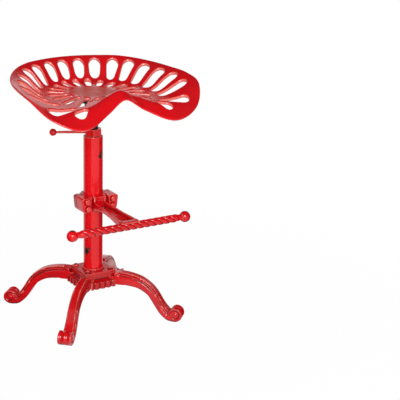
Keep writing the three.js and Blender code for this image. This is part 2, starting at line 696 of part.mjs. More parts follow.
function buildFootrest() {
  const axisY = -bar.reach;
  const ring = solid(tubeSolid(clampBore, clampRing, clamp.bottom, clampTop, tube.sides));
  const bore = solid(rod(clampBore, clamp.bottom - overrun, clampTop + overrun, tube.sides));
  const wide = clamp.lugOuter + overrun;
  const low = clamp.bottom - overrun;
  const high = clampTop + overrun;
  const frontHalf = solid(box(-wide, wide, -wide, -clamp.split, low, high));
  const backHalf = solid(box(-wide, wide, gap - clamp.split, wide, low, high));
  const lugs = (from, to) => [-1, 1].map((side) => solid(lugPrism(side, from, to)));
  const between = solid(box(-clamp.lugInner, clamp.lugInner, -clamp.lugFront - overrun, 0, low, high));

  const stations = armStations();
  const spreadAt = (share) => arm.ribSpread + share * (arm.endSpread - arm.ribSpread);
  const ribs = [-1, 1].map((side) => solid(loft(stations.map(([reach, top, bottom, share]) => {
    const middle = side * spreadAt(share);
    return armRing(reach, top, bottom, middle - arm.rib / 2, middle + arm.rib / 2);
  }))));
  const web = solid(loft(stations.map(([reach, , bottom, share]) => {
    const half = spreadAt(share);
    return armRing(reach, bottom + arm.web, bottom, -half, half);
  })));
  const seatTop = arm.end + gap;
  const boss = solid(slab([
    [axisY - bar.radius * 0.35, seatTop], [axisY + saddle.depth, seatTop],
    [axisY + bar.radius + saddle.wall * 0.75, bar.height + bar.radius * 0.6],
    [axisY + bar.radius + saddle.wall * 0.75, bar.height - bar.radius * 0.6],
    [axisY + bar.radius * 0.8, bar.height - bar.radius * 0.9],
    [axisY, bar.height], [axisY - bar.radius * 0.6, bar.height + bar.radius * 0.6],
  ], -saddle.halfLength, saddle.halfLength));
  const barRoom = solid(moved(
    rod(bar.radius + gap, -bar.length / 2, bar.length / 2, 32).rotateY(Math.PI / 2), 0, axisY, bar.height,
  ));
  const holes = clampBores(clampBolt.radius + gap, -wide, wide);
  const spotFaces = clampBores(clampNutCorner + gap, clampBackFace, wide);
  const front = union([...lugs(-clamp.lugFront, 0).map((lug) => lug.subtract(between)), ring])
    .intersect(frontHalf);
  add('footrest_bracket', cut(union([front, ...ribs, web, boss]), [bore, barRoom, ...holes]), red);

  const backLugs = lugs(-clamp.split, clampBackFace);
  const back = union([...backLugs, ring]).intersect(backHalf);
  add('clamp_back', cut(back, [bore, ...holes, ...spotFaces]), red);

  const headFace = -clamp.lugFront - gap;
  const nutFace = clampBackFace + gap;
  const nutHeight = clampBolt.head;
  const length = nutFace + nutHeight + clampBolt.tail - headFace;
  const bolt = hexBolt(clampBolt.radius, clampBolt.head, clampBolt.headHeight, length).rotateX(-Math.PI / 2);
  const thread = solid(rod(clampBolt.radius + gap, -overrun, nutHeight + overrun, 16));
  const blank = solid(prism(hexagon(clampBolt.head), 0, nutHeight));
  const nutBody = geometryOf(blank.subtract(thread)).rotateX(-Math.PI / 2);
  clampBoltPlaces.forEach(([x, z], k) => {
    add(`clamp_bolt_${k + 1}`, solid(moved(bolt, x, headFace, z)), red);
    add(`clamp_nut_${k + 1}`, solid(moved(nutBody, x, nutFace, z)), red);
  });
  buildBar(axisY);
}

function buildBar(axisY) {
  const end = bar.length / 2 - barBall.radius * 0.55;
  const steps = 64;
  const around = 12;
  const turns = (bar.grooves / bar.starts) * 2 * Math.PI;
  const rings = [];
  for (let i = 0; i <= steps; i += 1) {
    const share = i / steps;
    const x = -end + 2 * end * share;
    const past = 2 * end * Math.min(share, 1 - share) - barBall.radius * 0.6;
    const neck = THREE.MathUtils.clamp(past / bar.shoulder, 0, 1);
    const ringPoints = [];
    for (let j = 0; j < around; j += 1) {
      const angle = (2 * Math.PI * j) / around;
      const wave = 0.5 + 0.5 * Math.cos(bar.starts * (angle - turns * share));
      const full = bar.radius - bar.fluteDepth * (1 - wave);
      const radius = bar.neckRadius + (full - bar.neckRadius) * neck;
      const [y, z] = [radius * Math.cos(angle), radius * Math.sin(angle)];
      ringPoints.push(new THREE.Vector3(x, axisY + y, bar.height + z));
    }
    rings.push(ringPoints);
  }
  add('footrest_bar', solid(loft(rings)), red);

  for (const side of [-1, 1]) {
    const ball = solid(new THREE.SphereGeometry(barBall.radius, 18, 11));
    const bore = rod(bar.neckRadius + gap, barBall.radius * 0.55 - gap, barBall.radius + overrun, 24);
    const knob = geometryOf(ball.subtract(solid(bore.rotateY(-side * Math.PI / 2))));
    const name = side < 0 ? 'bar_ball_right' : 'bar_ball_left';
    add(name, solid(moved(knob, side * bar.length / 2, axisY, bar.height)), red);
  }
}

buildColumn();
buildSpindle();
buildLockNut();
buildSeat();
buildLegs();
buildHub();
buildFootrest();
model.position.y = columnSetBack;

export default model;
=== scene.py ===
"""A height adjustable stool with a cast tractor seat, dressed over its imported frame.

Shapes are worked out in millimetres about the column's axis and become metres when a piece is made.
"""

import math

import bmesh
import bpy
import numpy as np
from mathutils import Matrix, Vector


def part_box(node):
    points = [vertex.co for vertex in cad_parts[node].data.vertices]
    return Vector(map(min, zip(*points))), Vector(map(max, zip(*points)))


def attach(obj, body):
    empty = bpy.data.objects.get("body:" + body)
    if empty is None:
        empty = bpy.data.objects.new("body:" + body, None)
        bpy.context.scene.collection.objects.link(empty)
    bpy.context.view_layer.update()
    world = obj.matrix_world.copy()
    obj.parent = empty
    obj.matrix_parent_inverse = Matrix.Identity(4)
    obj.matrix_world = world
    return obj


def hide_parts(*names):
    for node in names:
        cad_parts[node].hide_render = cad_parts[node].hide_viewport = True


bl_info = {
    "name": "Tractor Seat Stool",
    "version": (1, 0, 0),
    "blender": (4, 5, 0),
    "location": "View3D > Sidebar > Stool",
    "description": "Builds the cast seat, column, footrest and scroll footed base of a stool over its frame",
    "category": "Object",
}

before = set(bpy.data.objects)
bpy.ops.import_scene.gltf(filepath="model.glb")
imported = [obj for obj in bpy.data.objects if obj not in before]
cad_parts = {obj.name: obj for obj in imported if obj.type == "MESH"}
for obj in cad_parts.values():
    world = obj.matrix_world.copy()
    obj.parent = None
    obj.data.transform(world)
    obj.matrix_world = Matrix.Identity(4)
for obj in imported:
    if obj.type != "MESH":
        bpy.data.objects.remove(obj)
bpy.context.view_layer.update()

# GAP is the room between pieces that meet
MM, GAP = 0.001, 0.3
TUBE_LOW, TUBE_HIGH = (np.array(corner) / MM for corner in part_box("column_tube"))
AXIS = np.array([*(TUBE_LOW + TUBE_HIGH)[:2] / 2, 0.0])
BORE = TUBE_HIGH[0] - AXIS[0] + GAP
SCREW_BORE, BOLT_BORE, BOLT_SHANK, HEAD_FLAT, HEAD_DEPTH = 12.8, 4.3, 4.0, 6.5, 4.0


def span(node):
    """A frame node's lowest and highest corners in millimetres about the column's axis."""
    return tuple(np.array(corner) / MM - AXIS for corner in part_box(node))


def middle(node):
    return sum(span(node)) / 2


def four(name):
    return [f"{name}_{k}" for k in range(1, 5)]


# Sizes and colours


def length(name, text, millimetres):
    return bpy.props.FloatProperty(
        name=name, description=text, default=millimetres * MM, min=0.0, unit="LENGTH", precision=4
    )


def colour(name, text, value):
    return bpy.props.FloatVectorProperty(
        name=name, description=text, default=value, size=3, min=0.0, max=1.0, subtype="COLOR"
    )


def share(name, text, value):
    return bpy.props.FloatProperty(
        name=name, description=text, default=value, min=0.0, max=1.0, subtype="FACTOR"
    )


def power(name, text, watts):
    return bpy.props.FloatProperty(name=name, description=text, default=watts, unit="POWER")


class SeatSizes(bpy.types.PropertyGroup):
    half_width: length("Half width", "Reach that the rim's shares are taken of", 228)
    disc_radius: length("Disc radius", "Flat middle of the bowl", 60)
    disc_top: length("Disc height", "Upper face of the flat middle above the floor", 575.5)
    rim_rise: length("Rim rise", "Height of the back rim over the flat middle", 59)
    plate: length("Plate", "Thickness of the casting, square to its face", 7.4)
    rim_plate: length("Rim thickness", "Thickness of the casting at its rim", 3.6)
    round_over: length("Round over", "Radius of the upper edges", 1.7)
    rib: length("Rib", "Width of the ribs between the slots", 9)
    long_slot: length("Long slot", "Greatest half width of the long slots", 14.5)
    short_slot: length("Short slot", "Greatest half width of the short slots", 8.5)
    turn: bpy.props.FloatProperty(
        name="Turn", description="How the seat stands on its screw", default=math.radians(-2), subtype="ANGLE"
    )


class BaseSizes(bpy.types.PropertyGroup):
    leg_width: length("Leg width", "Width of a leg across its side faces", 28)
    band_half: length("Top band", "Half width of the flat band along a leg's crest", 9.2)
    cove: length("Cove", "Depth of the cove beside the band", 8)
    scroll_radius: length("Scroll radius", "Radius of the scroll foot", 18.6)
    scroll_width: length("Scroll width", "Width of the scroll foot", 38)
    pleat: length("Pleat", "Width of one pleat of the apron under the plate", 16)
    pleat_depth: length("Pleat depth", "How far the pleats of the apron stand out", 4.6)


class FootrestSizes(bpy.types.PropertyGroup):
    bar_radius: length("Bar radius", "Radius over the twisted strands", 9.8)
    bar_groove: length("Groove", "Depth of the grooves between the strands", 2.3)
    ball_radius: length("Ball radius", "Radius of the ball at each end of the bar", 13.8)


class Finishes(bpy.types.PropertyGroup):
    red: colour("Enamel", "Red enamel in plain light", (0.7, 0.0018, 0.006))
    # The pooled red below is also the colour of painted shade in hollows, at the feet and on the shaded hub
    # and rear clamp half
    pooled_and_shaded_red: colour("Pooled and shaded enamel", "Red where the enamel lies thick, and painted shade", (0.34, 0.0015, 0.004))
    # The pale colour below is a painted sheen, laid on convex edges and the seat's slot walls
    thin_coat_and_painted_sheen: colour("Painted edge sheen", "Pale red painted on edges and slot walls as a sheen", (0.8, 0.26, 0.21))
    iron: colour("Bare iron", "Dark iron under the enamel", (0.012, 0.011, 0.011))
    worn: colour("Worn enamel", "Dull enamel on the middle of the seat", (0.6, 0.13, 0.1))
    black: colour("Black paint", "Paint of the screw and the seat's flange", (0.008, 0.008, 0.009))
    steel: colour("Steel", "Bare steel of bolts and bush", (0.33, 0.33, 0.34))
    wear: share("Wear", "How much enamel the edges have lost", 0.35)
    # Strength of the painted shade in hollows
    shade_strength: share("Recess shade", "How dark the recesses are", 0.8)


class StageLook(bpy.types.PropertyGroup):
    floor: colour("Floor", "Pale floor", (0.72, 0.72, 0.72))
    surround: share("Surround", "Light of the white room on the stool from its sides", 0.18)
    ceiling: share("Ceiling", "Light of the white room on the stool from above", 0.58)
    dim: share("Dim part", "How bright the unlit part of the room looks in a glossy face", 0.02)
    panel: share("Panel", "How bright the tall panel in front looks in a glossy face", 0.85)
    key: power("Key light", "Power of the large front light", 80.0)
    fill: power("Fill light", "Power of the large left light", 8.0)


SETTINGS = {
    "stool_seat": SeatSizes,
    "stool_base": BaseSizes,
    "stool_footrest": FootrestSizes,
    "stool_finish": Finishes,
    "stool_stage": StageLook,
}


# Distance fields


def soft_join(a, b, reach):
    """The nearer of two distances, with a fillet where they meet."""
    near = np.maximum(reach - np.abs(a - b), 0.0)
    return np.minimum(a, b) - near * near / (4.0 * reach)


def soft_cut(a, b, reach):
    """The first shape less the second, with a rounded edge."""
    return -soft_join(-a, b, reach)


def rounded(radius, *sides):
    """Where several half spaces meet, with round edges."""
    over = [np.maximum(side + radius, 0.0) for side in sides]
    outside = np.sqrt(sum(part * part for part in over))
    return outside + np.minimum(np.maximum.reduce(np.broadcast_arrays(*sides)) + radius, 0.0) - radius


def block(x, y, z, low, high, radius):
    """A box between two corners."""
    sides = [
        np.abs(place - (a + b) / 2) - (b - a) / 2 for place, a, b in zip((x, y, z), low, high)
    ]
    return rounded(radius, *sides)


def drum(across, up, reach, low, high, radius):
    """A cylinder, from the distance to its axis and the place along it."""
    return rounded(radius, across - reach, np.abs(up - (low + high) / 2) - (high - low) / 2)


def nearest(x, y, places):
    """Distance to the nearest of several axes that stand square to x and y."""
    return np.minimum.reduce([np.hypot(x - a, y - b) for a, b in places])


def ridge(away, place, width):
    """A round ridge of height one, at a distance from a line."""
    return np.exp(-(((away - place) / width) ** 2))


def capsule(along, across, span_length, first, second):
    """A flat shape with round ends of two radii, from places along and across its line."""
    across = np.abs(across)
    lean = (first - second) / span_length
    upright = math.sqrt(1.0 - lean * lean)
    way = -lean * across + upright * along
    side = upright * across + lean * along - first
    start = np.hypot(along, across) - first
    end = np.hypot(along - span_length, across) - second
    return np.where(way < 0, start, np.where(way > upright * span_length, end, side))


def line_distance(x, y, points, closed=False):
    """Distance to a chain of points, signed if it is closed: negative inside."""
    x, y = np.broadcast_arrays(x, y)
    best = np.full(x.shape, np.inf)
    inside = np.zeros(x.shape, bool)
    ends = zip(points, [*points[1:], points[0]]) if closed else zip(points, points[1:])
    for (ax, ay), (bx, by) in ends:
        dx, dy = bx - ax, by - ay
        px, py = x - ax, y - ay
        part = np.clip((px * dx + py * dy) / (dx * dx + dy * dy), 0.0, 1.0)
        best = np.minimum(best, (px - part * dx) ** 2 + (py - part * dy) ** 2)
        if closed and ay != by:
            inside ^= ((ay > y) != (by > y)) & (px < dx * py / dy)
    best = np.sqrt(best)
    return np.where(inside, -best, best)


def smooth_step(value, low, high):
    """Nought below one value, one above the other and a smooth rise between."""
    part = np.clip((value - low) / (high - low), 0.0, 1.0)
    return part * part * (3.0 - 2.0 * part)


def smooth_join(start, end, leaving, arriving, part):
    """A smooth run from one value to the next, with a slope at each."""
    step = end - start
    curve = part * part * (3 * step - 2 * leaving - arriving) + part**3 * (leaving + arriving - 2 * step)
    return start + part * leaving + curve


def curve_through(points, steps):
    """A smooth chain of points through the given ones."""
    points = np.array(points, float)
    ends = np.vstack([2 * points[0] - points[1], points, 2 * points[-1] - points[-2]])
    chain = [
        smooth_join(b, c, (c - a) / 2, (d - b) / 2, t)
        for a, b, c, d in zip(ends, ends[1:], ends[2:], ends[3:]) for t in np.arange(steps) / steps
    ]
    return [tuple(point) for point in [*chain, points[-1]]]


# Meshes


def cast_skin(field, low, high, step):
    """Four sided faces over the zero surface of a distance field, moved onto that surface."""
    low, high, step = (np.zeros(3) + values for values in (low, high, step))
    counts = np.ceil((high - low) / step).astype(int) + 1
    cells = counts - 1
    x, y, z = np.ix_(*(low[k] + step[k] * np.arange(counts[k]) for k in range(3)))
    value = np.broadcast_to(field(x, y, z), counts)
    inside = value < 0
    total, hits = np.zeros((*cells, 3)), np.zeros(cells)
    for axis in range(3):
        for corner in np.ndindex(2, 2):
            start = np.insert(corner, axis, 0)
            end = np.insert(corner, axis, 1)
            a, b = (value[tuple(slice(s, s + n) for s, n in zip(at, cells))] for at in (start, end))
            crossed = (a < 0) != (b < 0)
            hits += crossed
            part = np.divide(a, a - b, out=np.zeros(cells), where=crossed)
            for k in range(3):
                total[..., k] += part if k == axis else crossed * start[k]
    used = hits > 0
    number = np.full(cells, -1)
    number[used] = np.arange(used.sum())
    points = low + step * (np.argwhere(used) + total[used] / hits[used][:, None])
    faces = []
    for axis in range(3):
        full, at = np.moveaxis(inside, axis, 0), np.moveaxis(number, axis, 0)
        a, b = full[:-1, 1:-1, 1:-1], full[1:, 1:-1, 1:-1]
        i, j, k = np.nonzero(a != b)
        ring = np.stack([at[i, j, k], at[i, j + 1, k], at[i, j + 1, k + 1], at[i, j, k + 1]], 1)
        against = a[i, j, k] == (axis == 1)
        ring[against] = ring[against][:, ::-1]
        faces.append(ring)
    for _ in range(3):
        points = drawn_on(field, points, step)
    return points, np.vstack(faces)


def drawn_on(field, points, step):
    """Moves points straight towards the zero surface of a field."""
    reach = 0.06 * step.min()
    value = field(*points.T)
    shifts = np.eye(3) * reach
    rises = [field(*(points + shift).T) - field(*(points - shift).T) for shift in shifts]
    slope = np.stack(rises, 1) / (2 * reach)
    move = -value[:, None] * slope / np.maximum((slope * slope).sum(1), 0.2)[:, None]
    return points + np.clip(move, -0.6 * step, 0.6 * step)


def circle(sides):
    return 2 * math.pi * np.arange(sides) / sides


def hexagon(angle):
    """Reach of a hexagon at an angle, as a share of the reach of its flats."""
    return 1.0 / np.cos((angle + math.pi / 6) % (math.pi / 3) - math.pi / 6)


def level_ring(radius, angle, height):
    """Points round +Z, with one radius and height or one of each for every angle."""
    return np.c_[radius * np.cos(angle), radius * np.sin(angle), height + 0.0 * angle]


def ring_skin(rings, closed=False):
    """A skin through rings of equal count, led back to the first ring or capped at both ends."""
    sides = len(rings[0])
    k = np.arange(sides)
    j = (k + 1) % sides
    faces = []
    for row in range(len(rings) - (not closed)):
        a, b = row * sides, (row + 1) % len(rings) * sides
        faces += np.c_[a + k, a + j, b + j, b + k].tolist()
    if not closed:
        faces += [k[::-1].tolist(), ((len(rings) - 1) * sides + k).tolist()]
    return np.vstack(rings), faces


def turned_skin(profile, sides, sixes=()):
    """A turned mesh about +Z from [radius, height] pairs. Rows named in sixes are hexagons of that flat."""
    angle = circle(sides)
    points, faces, rows = [], [], []
    for row, (radius, height) in enumerate(profile):
        own = level_ring(radius * (hexagon(angle) if row in sixes else 1.0), angle, height)
        own = own if radius else own[:1]
        rows.append(len(points) + np.arange(len(own)))
        points.extend(own)
    if profile[0] == profile[-1]:
        points = points[:rows[-1][0]]
        rows[-1] = rows[0]
    for first, second in zip(rows, rows[1:]):
        for k in range(sides):
            j = (k + 1) % sides
            corners = (first, k), (first, j), (second, j), (second, k)
            faces.append(list(dict.fromkeys(own[place % len(own)] for own, place in corners)))
    return np.array(points, float), faces


def hex_skin(flat, tall, chamfer, bore=0.0):
    """A hexagon nut or bolt head with its corners turned off."""
    angle = circle(72)
    corner = flat / math.cos(math.pi / 6)
    soft, inset = 0.35, 0.9
    rings = []
    for height in [0.0, soft, *np.linspace(inset, tall - inset, 8), tall - soft, tall]:
        off = max(0.0, 1.0 - height / chamfer, 1.0 - (tall - height) / chamfer)
        sides = flat * hexagon(angle) - (soft if height in (0.0, tall) else 0.0)
        rings.append(level_ring(np.minimum(sides, corner - 1.5 * chamfer * off), angle, height))
    if not bore:
        return ring_skin([*rings, level_ring(flat * 0.8, angle, tall + 0.2)])
    inside = [(flat * 0.88, tall), (bore, tall), (bore, 0.0)]
    return ring_skin([*rings, *(level_ring(radius, angle, height) for radius, height in inside)], closed=True)


def shank_skin(tall, soft):
    """A bolt's shank with rounded ends, from inside its head up to a height."""
    bend = [(BOLT_SHANK - soft * (1 - t) ** 2, soft * t * t) for t in np.linspace(0, 1, 5)]
    rows = [(radius, HEAD_DEPTH + up) for radius, up in bend]
    rows += [(radius, tall - up) for radius, up in bend[::-1]]
    return turned_skin([(0, HEAD_DEPTH), *rows, (0, tall)], 32)


def ball_outline(size, neck, steps):
    """Outline of a ball, from its neck's radius round to its far pole."""
    turns = np.linspace(math.asin(neck / size), math.pi, steps)[:-1]
    return [*((size * math.sin(t), -size * math.cos(t)) for t in turns), (0, size)]


def spin(points, degrees):
    """Points turned about the column's axis."""
    ahead, beside = math.cos(math.radians(degrees)), math.sin(math.radians(degrees))
    turn = np.array([[ahead, -beside, 0], [beside, ahead, 0], [0, 0, 1]])
    return np.asarray(points, float) @ turn.T


def laid(points, axis):
    """Points made about +Z, laid so that their height runs along +X or +Y."""
    x, y, z = np.asarray(points, float).T
    return np.c_[z, x, y] if axis == "x" else np.c_[y, z, x]


def joined(*skins):
    """Several closed skins as one mesh."""
    points, faces, offset = [], [], 0
    for own_points, own_faces in skins:
        points.append(own_points)
        faces += [[v + offset for v in ring] for ring in own_faces]
        offset += len(own_points)
    return np.vstack(points), faces


def mark(mesh, name, values):
    """Stores a number for each point, for the materials to read."""
    mesh.attributes.new(name, "FLOAT", "POINT").data.foreach_set("value", values)


def mark_bend(mesh):
    """Stores how sharply each point bends, per millimetre: above zero on edges, below it in hollows."""
    count = len(mesh.vertices)
    co, normal = np.zeros(count * 3), np.zeros(count * 3)
    mesh.vertices.foreach_get("co", co)
    mesh.vertices.foreach_get("normal", normal)
    co, normal = co.reshape(-1, 3) / MM, normal.reshape(-1, 3)
    ends = np.zeros(len(mesh.edges) * 2, int)
    mesh.edges.foreach_get("vertices", ends)
    a, b = ends.reshape(-1, 2).T
    step = co[b] - co[a]
    size = np.maximum((step * step).sum(1), 1e-6)
    bend, near = np.zeros(count), np.zeros(count)
    for own, way in ((a, -step), (b, step)):
        np.add.at(bend, own, 2 * (normal[own] * way).sum(1) / size)
        np.add.at(near, own, 1)
    bend /= np.maximum(near, 1)
    for _ in range(3):
        total = bend.copy()
        np.add.at(total, a, bend[b])
        np.add.at(total, b, bend[a])
        bend = total / (near + 1)
    mark(mesh, "bend", np.clip(bend, -2, 2))


def make_piece(name, skin, body, node, material, crease=None):
    """A piece from points in millimetres about the column, riding on a body in place of a CAD node."""
    old = bpy.data.objects.get(name)
    if old is not None:
        bpy.data.objects.remove(old)
    points, faces = skin
    mesh = bpy.data.meshes.new(name)
    places = (np.asarray(points) + AXIS) * MM
    mesh.from_pydata(places.tolist(), [], np.asarray(faces, object).tolist())
    shell = bmesh.new()
    shell.from_mesh(mesh)
    bmesh.ops.recalc_face_normals(shell, faces=shell.faces)
    shell.to_mesh(mesh)
    shell.free()
    mesh.shade_smooth()
    if crease is not None:
        mesh.set_sharp_from_angle(angle=math.radians(crease))
    mark_bend(mesh)
    mesh.materials.append(material)
    piece = bpy.data.objects.new(name, mesh)
    bpy.context.scene.collection.objects.link(piece)
    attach(piece, body)
    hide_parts(node)
    return piece


# Shader nodes


def feed(tree, made, values):
    """Sets a node's inputs to numbers, colours or other nodes' outputs."""
    for key, value in values.items():
        if isinstance(value, bpy.types.NodeSocket):
            tree.links.new(value, made.inputs[key])
        else:
            made.inputs[key].default_value = value
    return made


def put(tree, kind, values=None, **settings):
    made = tree.nodes.new("ShaderNode" + kind)
    for key, value in settings.items():
        setattr(made, key, value)
    return feed(tree, made, values or {})


def maths(tree, kind, a, b):
    return put(tree, "Math", {0: a, 1: b}, operation=kind).outputs[0]


def plus(tree, a, b):
    return maths(tree, "ADD", a, b)


def less(tree, a, b):
    return maths(tree, "SUBTRACT", a, b)


def times(tree, a, b):
    return maths(tree, "MULTIPLY", a, b)


def greatest(tree, a, b):
    return maths(tree, "MAXIMUM", a, b)


def vector(tree, kind, *values):
    made = put(tree, "VectorMath", dict(enumerate(values)), operation=kind)
    return made.outputs["Value" if kind in ("LENGTH", "DOT_PRODUCT") else "Vector"]


def ramp(tree, value, low, high, to_low=0.0, to_high=1.0):
    values = {0: value, 1: low, 2: high, 3: to_low, 4: to_high}
    return put(tree, "MapRange", values, interpolation_type="SMOOTHSTEP").outputs[0]


def blend(tree, part, under, over):
    return put(tree, "Mix", {0: part, 2: under, 3: over}).outputs[0]


def dye(tree, part, under, over):
    return put(tree, "Mix", {0: part, 6: under, 7: over}, data_type="RGBA").outputs[2]


def noise(tree, place, scale, detail=3.0, rough=0.55):
    values = {"Vector": place, "Scale": scale, "Detail": detail, "Roughness": rough}
    return put(tree, "TexNoise", values).outputs[0]


def fray(tree, reach, place, *look):
    """Noise about nought that frays an edge over a reach."""
    return times(tree, less(tree, noise(tree, place, *look), 0.5), reach)


def object_place(tree):
    return put(tree, "TexCoord").outputs["Object"]


def marked(tree, name):
    return put(tree, "Attribute", attribute_name=name).outputs["Fac"]


def bump(tree, height, strength, distance):
    return put(tree, "Bump", {"Height": height, "Strength": strength, "Distance": distance}).outputs[0]


# Shader groups

SOCKETS = {"value": "NodeSocketFloat", "colour": "NodeSocketColor", "place": "NodeSocketVector"}


def start_group(name, inputs, outputs):
    tree = bpy.data.node_groups.new(name, "ShaderNodeTree")
    for label, kind, value in inputs:
        tree.interface.new_socket(name=label, in_out="INPUT", socket_type=SOCKETS[kind]).default_value = value
    for label, kind in outputs:
        tree.interface.new_socket(name=label, in_out="OUTPUT", socket_type=SOCKETS[kind])
    return tree, tree.nodes.new("NodeGroupInput").outputs, tree.nodes.new("NodeGroupOutput").inputs


def enamel_cloud_group():
    """Enamel that varies from a plain coat to pooled over the surface."""
    tree, given, out = start_group(
        "enamel_cloud",
        [("Enamel", "colour", (1, 0, 0, 1)), ("Pooled", "colour", (0.5, 0, 0, 1)), ("Pooling", "value", 0.3)],
        [("Color", "colour"), ("Cloud", "value")],
    )
    place = object_place(tree)
    broad = noise(tree, place, 14.0, 2.0)
    fine = noise(tree, place, 120.0, 3.0, 0.6)
    cloud = plus(tree, times(tree, broad, 0.7), times(tree, fine, 0.3))
    part = times(tree, ramp(tree, cloud, 0.45, 0.68), given["Pooling"])
    tree.links.new(dye(tree, part, given["Enamel"], given["Pooled"]), out["Color"])
    tree.links.new(cloud, out["Cloud"])
    return tree


def cast_grain_group():
    """Height of a sand cast face under enamel: broad waves, small lumps and orange peel."""
    tree, given, out = start_group(
        "cast_grain", [("Lumps", "value", 1.0), ("Peel", "value", 1.0)], [("Height", "value")]
    )
    place = object_place(tree)
    waves = times(tree, noise(tree, place, 42.0, 2.0), 0.6)
    lumps = times(tree, noise(tree, place, 260.0, 3.0, 0.6), 0.4)
    peel = times(tree, noise(tree, place, 900.0, 2.0), 0.16)
    rough = times(tree, plus(tree, waves, lumps), given["Lumps"])
    tree.links.new(plus(tree, rough, times(tree, peel, given["Peel"])), out["Height"])
    return tree


def edge_wear_group():
    """Mask of small patches where edges have lost their enamel."""
    tree, given, out = start_group(
        "edge_wear", [("Amount", "value", 0.3), ("Sharpness", "value", 0.25)], [("Mask", "value")]
    )
    edge = ramp(tree, marked(tree, "bend"), given["Sharpness"], times(tree, given["Sharpness"], 2.2))
    patch = noise(tree, object_place(tree), 70.0, 5.0, 0.65)
    start = less(tree, 0.78, times(tree, given["Amount"], 0.2))
    chance = ramp(tree, patch, start, plus(tree, start, 0.03))
    tree.links.new(times(tree, edge, chance), out["Mask"])
    return tree


def recess_shade_group():
    """Mask of painted shade held in hollows, broken by specks."""
    tree, given, out = start_group("recess_shade", [("Depth", "value", 0.12)], [("Mask", "value")])
    mask = ramp(tree, times(tree, marked(tree, "bend"), -1.0), 0.01, given["Depth"])
    speck = ramp(tree, noise(tree, object_place(tree), 150.0, 3.0), 0.3, 0.62, 0.55, 1.0)
    tree.links.new(times(tree, mask, speck), out["Mask"])
    return tree


def enamel_chip_group():
    """Mask of one chip through the enamel, with a ragged edge."""
    tree, given, out = start_group(
        "enamel_chip",
        [("Centre", "place", (0, 0, 0)), ("Reach", "place", (0.005, 0.005, 0.005)), ("Ragged", "value", 0.6)],
        [("Mask", "value")],
    )
    place = object_place(tree)
    scaled = vector(tree, "DIVIDE", vector(tree, "SUBTRACT", place, given["Centre"]), given["Reach"])
    ragged = fray(tree, times(tree, given["Ragged"], 4.0), place, 330.0, 4.0, 0.7)
    edge = plus(tree, vector(tree, "LENGTH", scaled), ragged)
    tree.links.new(ramp(tree, edge, 0.82, 1.0, 1.0, 0.0), out["Mask"])
    return tree


GROUPS = {
    "enamel_cloud": enamel_cloud_group,
    "cast_grain": cast_grain_group,
    "edge_wear": edge_wear_group,
    "recess_shade": recess_shade_group,
    "enamel_chip": enamel_chip_group,
}


def use_group(tree, name, **values):
    made = tree.nodes.new("ShaderNodeGroup")
    made.node_tree = bpy.data.node_groups.get(name) or GROUPS[name]()
    return feed(tree, made, values).outputs


# Finishes

RUST, STAIN, WORN_BLACK = (0.04, 0.026, 0.022, 1.0), (0.16, 0.11, 0.08, 1.0), (0.022, 0.021, 0.021, 1.0)


def start_material(name):
    old = bpy.data.materials.get(name)
    if old is not None:
        return old, None, None
    made = bpy.data.materials.new(name)
    made.use_nodes = True
    tree = made.node_tree
    return made, tree, tree.nodes["Principled BSDF"]


def rgba(value):
    return (*value, 1.0)


def darker(value, part):
    return rgba([part * one for one in value])


def enamel(
    name, lumps, peel, roughness, depth, pooling, wear=1.0, chips=(), worn_radius=None, floor_shade_height=None
):
    """Red enamel over iron, with its own chips, each [centre, reach] in millimetres about the column."""
    made, tree, shader = start_material(name)
    if tree is None:
        return made
    finish = bpy.context.scene.stool_finish
    # depth mixes the whole piece towards the pooled red, which the hub and rear clamp half use as painted
    # shade
    red = [thin_coat_and_painted_sheen + (thick - thin_coat_and_painted_sheen) * depth for thin_coat_and_painted_sheen, thick in zip(finish.red, finish.pooled_and_shaded_red)]
    cloud = use_group(tree, "enamel_cloud", Enamel=rgba(red), Pooled=rgba(finish.pooled_and_shaded_red), Pooling=pooling)
    paint = cloud["Color"]
    rough = ramp(tree, cloud["Cloud"], 0.3, 0.7, roughness * 0.85, roughness * 1.25)
    # Painted sheen: pale red laid on convex edges as a highlight
    sheen_mask = ramp(tree, marked(tree, "bend"), 0.1, 0.45, 0.0, 0.55)
    if worn_radius is not None:
        paint, rough = worn_patch(tree, finish, paint, rough, worn_radius)
        # Painted sheen on the seat's slot walls too
        sheen_mask = greatest(tree, sheen_mask, times(tree, marked(tree, "wall"), 0.6))
    paint = dye(tree, sheen_mask, paint, rgba(finish.thin_coat_and_painted_sheen))
    # Painted shade: hollows are darkened towards a deep red
    painted_shade = times(tree, use_group(tree, "recess_shade")["Mask"], finish.shade_strength)
    # Painted shade on the feet, darker towards the floor
    if floor_shade_height is not None:
        painted_shade = greatest(tree, painted_shade, floor_shade(tree, floor_shade_height))
    paint = dye(tree, painted_shade, paint, darker(finish.pooled_and_shaded_red, 0.22))
    bare = bare_spots(tree, finish, wear, chips)
    rust = ramp(tree, noise(tree, object_place(tree), 420.0, 4.0), 0.5, 0.7)
    grain = use_group(tree, "cast_grain", Lumps=lumps, Peel=peel)["Height"]
    feed(tree, shader, {
        "Base Color": dye(tree, bare, paint, dye(tree, rust, rgba(finish.iron), RUST)),
        "Roughness": plus(tree, rough, times(tree, greatest(tree, bare, painted_shade), 0.28)),
        "Normal": bump(tree, less(tree, grain, times(tree, bare, 0.5)), 0.6, 0.0009),
        "IOR": 1.52,
    })
    return made


